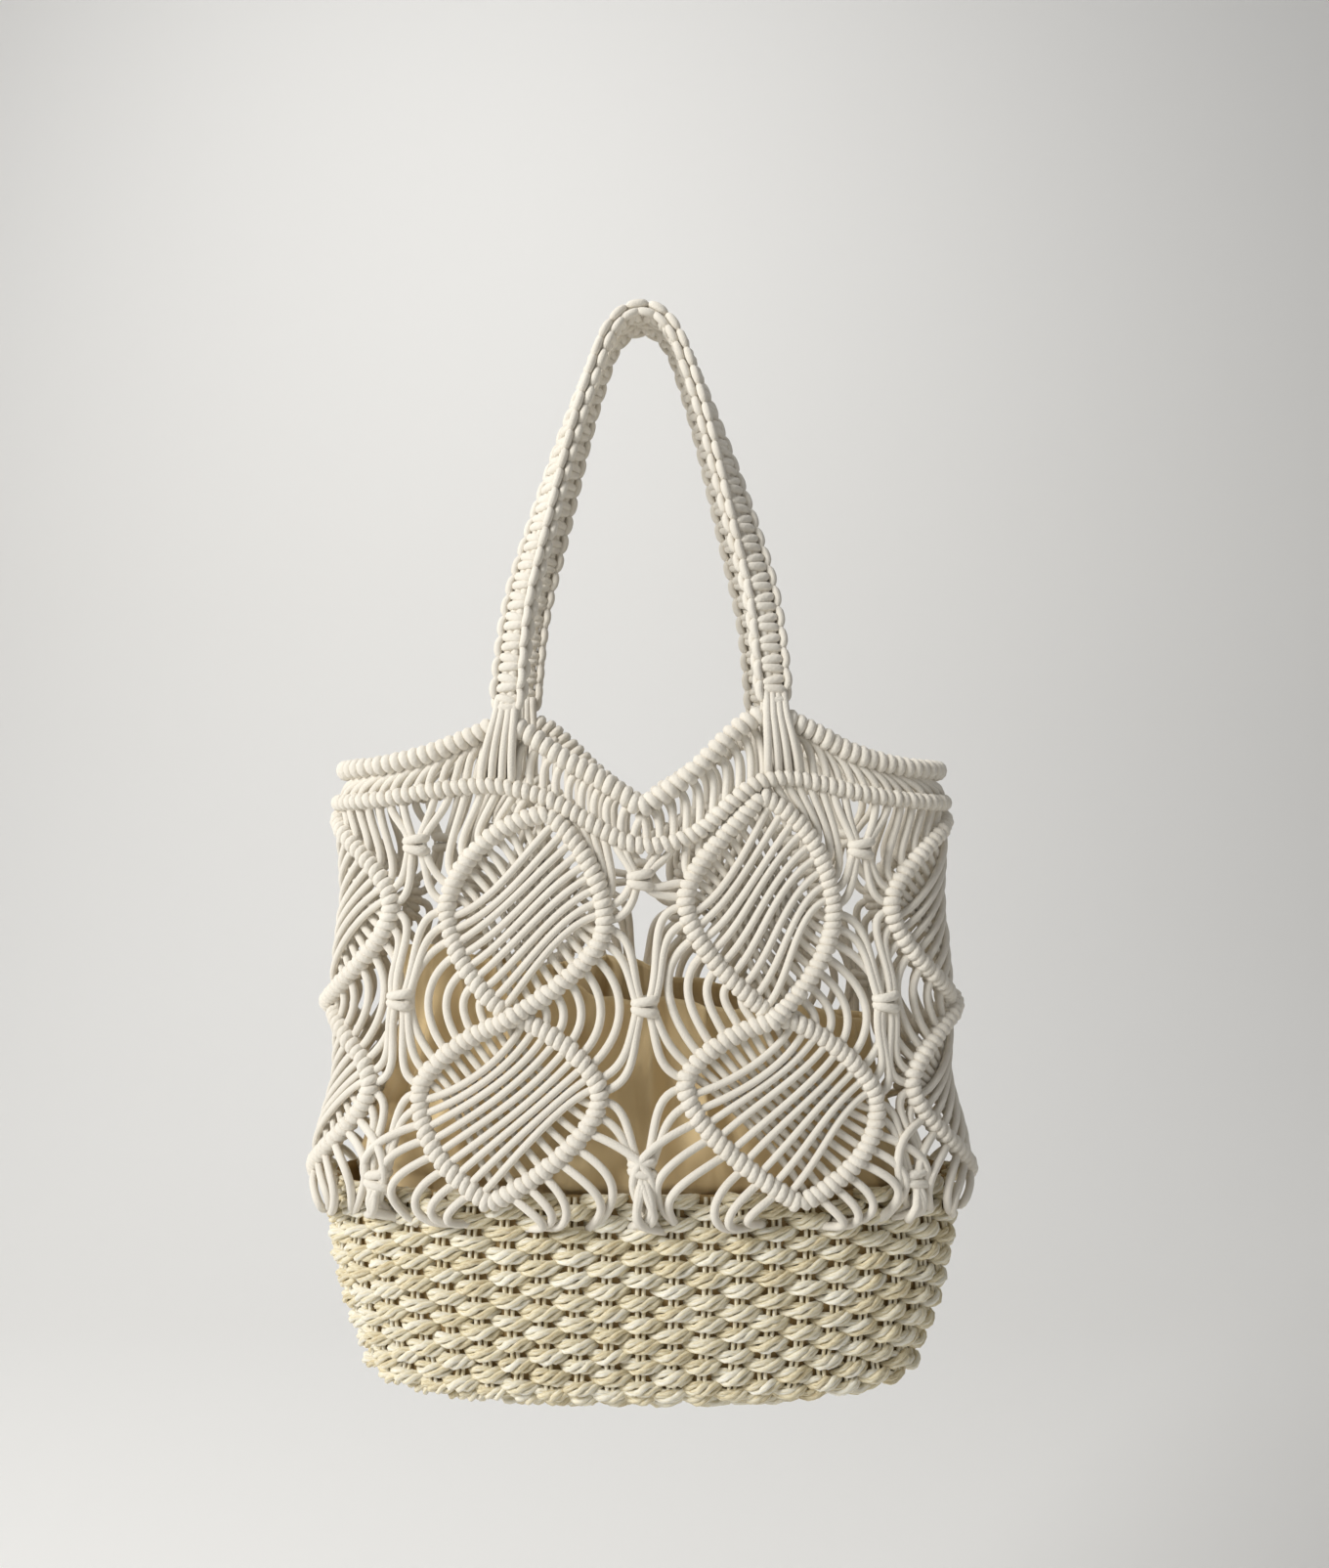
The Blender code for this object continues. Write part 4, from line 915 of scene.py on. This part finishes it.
# Twisted straw is dry, split and hand-twisted. Its fibres run along it, so that it gives the eye streaks of
# cream and tan with a dull gleam, and each ply has its own tone.
straw, straw_shader = new_material("twisted_straw")
straw_wrap = add(straw, "ShaderNodeUVMap", uv_map="cord")
straw_stretch = add(straw, "ShaderNodeMapping", {"Vector": straw_wrap.outputs["UV"],
                                                 "Scale": (3.4, 0.8, 1.0)})
straw_fibre = add(straw, "ShaderNodeTexNoise", {"Vector": straw_stretch.outputs["Vector"], "Scale": 2.2,
                                                "Detail": 5.0, "Roughness": 0.7})
straw_tint = add(straw, "ShaderNodeAttribute", attribute_name="tint")
straw_mixed = add(straw, "ShaderNodeMath", {0: straw_fibre.outputs["Fac"], 1: 1.3, 2: -0.32},
                  operation="MULTIPLY_ADD")
straw_both = add(straw, "ShaderNodeMath", {0: straw_tint.outputs["Fac"], 1: 0.35, 2: straw_mixed.outputs[0]},
                 operation="MULTIPLY_ADD")
straw_ramp = add(straw, "ShaderNodeValToRGB", {"Fac": straw_both.outputs[0]})
straw_ramp.color_ramp.elements[0].position = 0.12
straw_ramp.color_ramp.elements[0].color = linear("#BBA67B")
straw_ramp.color_ramp.elements[1].position = 0.75
straw_ramp.color_ramp.elements[1].color = linear("#F8F4E6")
straw_middle = straw_ramp.color_ramp.elements.new(0.40)
straw_middle.color = linear("#E6DAB8")
link(straw, straw_ramp.outputs["Color"], straw_shader, "Base Color")
straw_bump = add(straw, "ShaderNodeBump", {"Height": straw_fibre.outputs["Fac"], "Strength": 0.8,
                                           "Distance": 0.0008})
link(straw, straw_bump.outputs["Normal"], straw_shader, "Normal")
straw_shader.inputs["Roughness"].default_value = 0.62
straw_shader.inputs["Specular IOR Level"].default_value = 0.35

pair_count = 2 * int(round(np.linalg.norm(np.diff(rings[0], axis=0), axis=1).sum() / STRAW_PAIR / 2))
t = np.linspace(-1, 1, STRAW_FLOAT_STEPS)
wall_rises, wall_along = [row[0] for row in profile[WALL_RINGS - 1::-1]], profile_along[WALL_RINGS - 1::-1]
part_start = 0.0
for name, part_rise in STRAW_PARTS:
    cords = Cords()
    part_end = profile_along[-1] if part_rise is None else np.interp(part_rise, wall_rises, wall_along)
    for row, down in enumerate(straw_rows):
        if not part_start <= down < part_end:
            continue
        ring = rings[int(np.interp(down, profile_along, np.arange(len(profile))))]
        ring_length = np.linalg.norm(np.diff(ring, axis=0), axis=1).sum()
        floats = pair_count // 2
        while ring_length / floats < STRAW_REACH * 2.3 and floats > 4:
            floats //= 2
        reach = min(STRAW_REACH, 0.36 * ring_length / floats) / ring_length
        middle = (np.arange(floats) + 0.5 * (row % 2)) / floats + rng.normal(0, 0.0007, floats) / ring_length
        twist = rng.uniform(0, 2 * math.pi, floats)[:, None]
        turn = STRAW_TURN * rng.uniform(0.7, 1.15, (floats, 1))
        slant = rng.normal(0.0002, 0.0003, (floats, 1))
        full = 1 + rng.uniform(-0.08, 0.08, (floats, 1))
        for ply in range(STRAW_PLIES):
            phase = twist + 2 * math.pi * ply / STRAW_PLIES + turn * t
            taper = 1 - 0.60 * np.abs(t) ** 4.0
            rise = STRAW_TWIST * np.cos(phase) * taper * full + slant * t
            out = (STRAW_BULGE * (1 - np.abs(t) ** 2.1) - STRAW_SINK
                   + 0.7 * STRAW_TWIST * np.sin(phase) * taper
                   + rng.uniform(-STRAW_ROUGH_STRAY, STRAW_ROUGH_STRAY, (floats, 1))
                   + rng.normal(0, STRAW_STRAY, (floats, len(t))))
            rise = rise + rng.normal(0, STRAW_STRAY, (floats, len(t)))
            share = middle[:, None] + reach * t * (1 + rng.uniform(-0.05, 0.05, (floats, 1)))
            paths, normal = on_basket(share, down + rise, out)
            thick = STRAW_PLY * (0.45 + 0.55 * taper) * full * (1 + rng.normal(0, 0.07, (floats, len(t))))
            cords.lay(paths, normal, thick, sides=6, tint=rng.uniform(0, 1, floats))
    piece = cords.finish(name, straw)
    if name == "straw_rows":
        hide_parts("straw_basket")
    part_start = part_end

cords = Cords()
down = np.linspace(0.0005, profile_along[-1] - 0.02, UPRIGHT_STEPS)
weave = np.cos(math.pi * down / STRAW_ROW)
for shift in (-UPRIGHT_SHIFT, UPRIGHT_SHIFT):
    columns = np.arange(pair_count)[:, None]
    out = -UPRIGHT_SINK + UPRIGHT_WEAVE * np.where(columns % 2, -1, 1) * weave
    paths, normal = on_basket((columns + shift / STRAW_PAIR) / pair_count, down, out)
    cords.lay(paths, normal, UPRIGHT_RADIUS, sides=6, tint=rng.uniform(0.2, 0.9, pair_count))
warp = cords.finish("straw_uprights", straw)

# Behind the floats lies a sheet of packed straw, coloured a darker tan than the floats: painted shade for the
# gaps between them
shade, shade_shader = new_material("straw_core_painted_shade")
shade_place = add(shade, "ShaderNodeNewGeometry")
shade_noise = add(shade, "ShaderNodeTexNoise", {"Vector": shade_place.outputs["Position"], "Scale": 300.0})
# Both tans are painted shade: the straw's own colour darkened to look shaded in the gaps
shade_colour = add(shade, "ShaderNodeMix", {"Factor": shade_noise.outputs["Fac"], "A": linear("#9A8053"),
                                            "B": linear("#BCA071")}, data_type="RGBA")
link(shade, shade_colour.outputs["Result"], shade_shader, "Base Color")
shade_shader.inputs["Roughness"].default_value = 0.9
core_levels = np.linspace(0, profile_along[-1] - 0.004, CORE_ROWS)
core_places = np.meshgrid(np.arange(CORE_SIDES) / CORE_SIDES, core_levels)
core_points = [on_basket(*core_places, np.full((CORE_ROWS, CORE_SIDES), -depth))[0].reshape(-1, 3)
               for depth in CORE_FACES_IN]
core_mesh = bpy.data.meshes.new("straw_core_painted_shade")
core_faces = []
inner_layer = CORE_ROWS * CORE_SIDES
for layer, flip in ((0, False), (inner_layer, True)):
    for i in range(CORE_ROWS - 1):
        upper, lower = layer + i * CORE_SIDES, layer + (i + 1) * CORE_SIDES
        for j in range(CORE_SIDES):
            k = (j + 1) % CORE_SIDES
            face = [upper + j, lower + j, lower + k, upper + k]
            core_faces.append(face[::-1] if flip else face)
    bottom_ring = [layer + (CORE_ROWS - 1) * CORE_SIDES + j for j in range(CORE_SIDES)]
    core_faces.append(bottom_ring if flip else bottom_ring[::-1])
for j in range(CORE_SIDES):
    k = (j + 1) % CORE_SIDES
    core_faces.append([j, k, inner_layer + k, inner_layer + j])
core_mesh.from_pydata(np.concatenate(core_points).tolist(), [], core_faces)
core_mesh.validate()
core_mesh.shade_smooth()
core_mesh.materials.append(shade)
core = bpy.data.objects.new("straw_core_painted_shade", core_mesh)
bpy.context.scene.collection.objects.link(core)
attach(core, "root")


# Lining: a slack pouch of thin, plain woven cotton, cream to tan, which stands in the straw base and is open
# at the top. It gives the eye soft, matt folds behind the net, made by moving its points inwards.
LINING_WALL = 0.0008
LINING_CLEARANCE = 0.003
LINING_COLUMNS = ("rise", "width", "depth", "folds")
LINING_SECTIONS = (
    (0.00, 0.56, 0.54, 0.0),
    (0.08, 0.86, 0.86, 0.0),
    (0.30, 0.96, 0.95, 0.1),
    (0.50, 0.95, 0.94, 0.4),
    (0.75, 0.89, 0.82, 0.9),
    (1.00, 0.84, 0.68, 1.0),
)
BASKET_WALL = 0.0045
LINING_HEIGHT = 0.194
LINING_TILT = 0.02
LINING_FOLD = 0.016
LINING_BACK_RISE = 0.004
LINING_SQUARENESS = 2.3
WEAVE_SCALE = 700.0
STAIN_SCALE = 18.0
LINING_AROUND = 320
LINING_UP = 64

cloth, cloth_shader = new_material("plain_woven_cotton")
cloth_place = add(cloth, "ShaderNodeTexCoord")
cloth_weave = add(cloth, "ShaderNodeTexNoise", {"Vector": cloth_place.outputs["Object"],
                                                "Scale": WEAVE_SCALE, "Detail": 2.0})
cloth_cloud = add(cloth, "ShaderNodeTexNoise", {"Vector": cloth_place.outputs["Object"],
                                                "Scale": STAIN_SCALE, "Detail": 3.0})
cloth_colour = add(cloth, "ShaderNodeMix", {"Factor": cloth_cloud.outputs["Fac"], "A": linear("#DCBE8A"),
                                            "B": linear("#F3E0B4")}, data_type="RGBA")
cloth_bump = add(cloth, "ShaderNodeBump", {"Height": cloth_weave.outputs["Fac"], "Strength": 0.3,
                                           "Distance": 0.0003})
link(cloth, cloth_colour.outputs["Result"], cloth_shader, "Base Color")
link(cloth, cloth_bump.outputs["Normal"], cloth_shader, "Normal")
cloth_shader.inputs["Roughness"].default_value = 0.9
cloth_shader.inputs["Sheen Weight"].default_value = 0.15

lining_bottom = BASKET_BOTTOM_Z + BASKET_WALL + LINING_CLEARANCE
theta = 2 * math.pi * np.arange(LINING_AROUND) / LINING_AROUND
lining_rows = []
for rise in np.linspace(0, 1, LINING_UP) ** 0.9:
    z = lining_bottom + (LINING_HEIGHT - LINING_CLEARANCE) * rise
    width, depth, folds = (float(table_value(LINING_SECTIONS, LINING_COLUMNS, name, rise))
                           for name in ("width", "depth", "folds"))
    room = []
    if z < BASKET_TOP_Z:
        share = (z - BASKET_BOTTOM_Z) / BASKET_HEIGHT
        basket_width, basket_depth = (float(table_value(BASKET_SECTIONS, BASKET_COLUMNS, name, share))
                                      for name in ("width", "depth"))
        room.append((BASKET_WIDTH / 2 * basket_width - BASKET_WALL,
                     BASKET_DEPTH / 2 * basket_depth - BASKET_WALL))
    if z > HEM_Z:
        room.append(tuple(wall_size(z)[:2]))
    half_width = (min(size[0] for size in room) - LINING_CLEARANCE) * width
    half_depth = (min(size[1] for size in room) - LINING_CLEARANCE) * depth
    ring = ring_of((half_width, half_depth, LINING_SQUARENESS), LINING_AROUND)[:-1]
    bend = 0.7 * np.sin(3 * theta + 1.0)
    wave = (0.30 * np.sin(5 * theta + 1.1 + 1.4 * rise)
            + 0.44 * (1 - 2 * np.abs(np.sin(8 * theta + 1.0 - 1.4 * rise + bend)) ** 0.7)
            + 0.26 * (1 - 2 * np.abs(np.sin(13 * theta + 2.0 + 2.6 * rise - 2 * bend)) ** 0.7) - 1.0)
    crease = 0.25 * np.sin(31 * theta + 9 * rise) * np.sin(7 * theta - 5 * rise)
    inward = ring * (1, half_width / half_depth)
    inward /= np.linalg.norm(inward, axis=1, keepdims=True)
    ring = ring + inward * (LINING_FOLD * max(folds, 0.0) ** 0.6 * (wave + crease) / 2)[:, None]
    lift = rise**2 * (-LINING_TILT * ring[:, 0] / half_width
                      + LINING_BACK_RISE * (1 + ring[:, 1] / half_depth)
                      + 0.004 * np.sin(3 * theta) + 0.002 * np.sin(8 * theta))
    lining_rows.append(np.concatenate([ring, (z + lift)[:, None]], axis=1))
lining_mesh = bpy.data.meshes.new("lining_pouch")
lining_faces = [(i * LINING_AROUND + j, i * LINING_AROUND + (j + 1) % LINING_AROUND,
                 (i + 1) * LINING_AROUND + (j + 1) % LINING_AROUND, (i + 1) * LINING_AROUND + j)
                for i in range(LINING_UP - 1) for j in range(LINING_AROUND)]
lining_faces.append(tuple(range(LINING_AROUND))[::-1])
lining_mesh.from_pydata(np.concatenate(lining_rows).tolist(), [], lining_faces)
lining_mesh.shade_smooth()
lining_mesh.materials.append(cloth)
lining = bpy.data.objects.new("lining_pouch", lining_mesh)
bpy.context.scene.collection.objects.link(lining)
thickness = lining.modifiers.new("thickness", "SOLIDIFY")
thickness.thickness = LINING_WALL
thickness.offset = -1
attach(lining, "root")
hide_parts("lining")
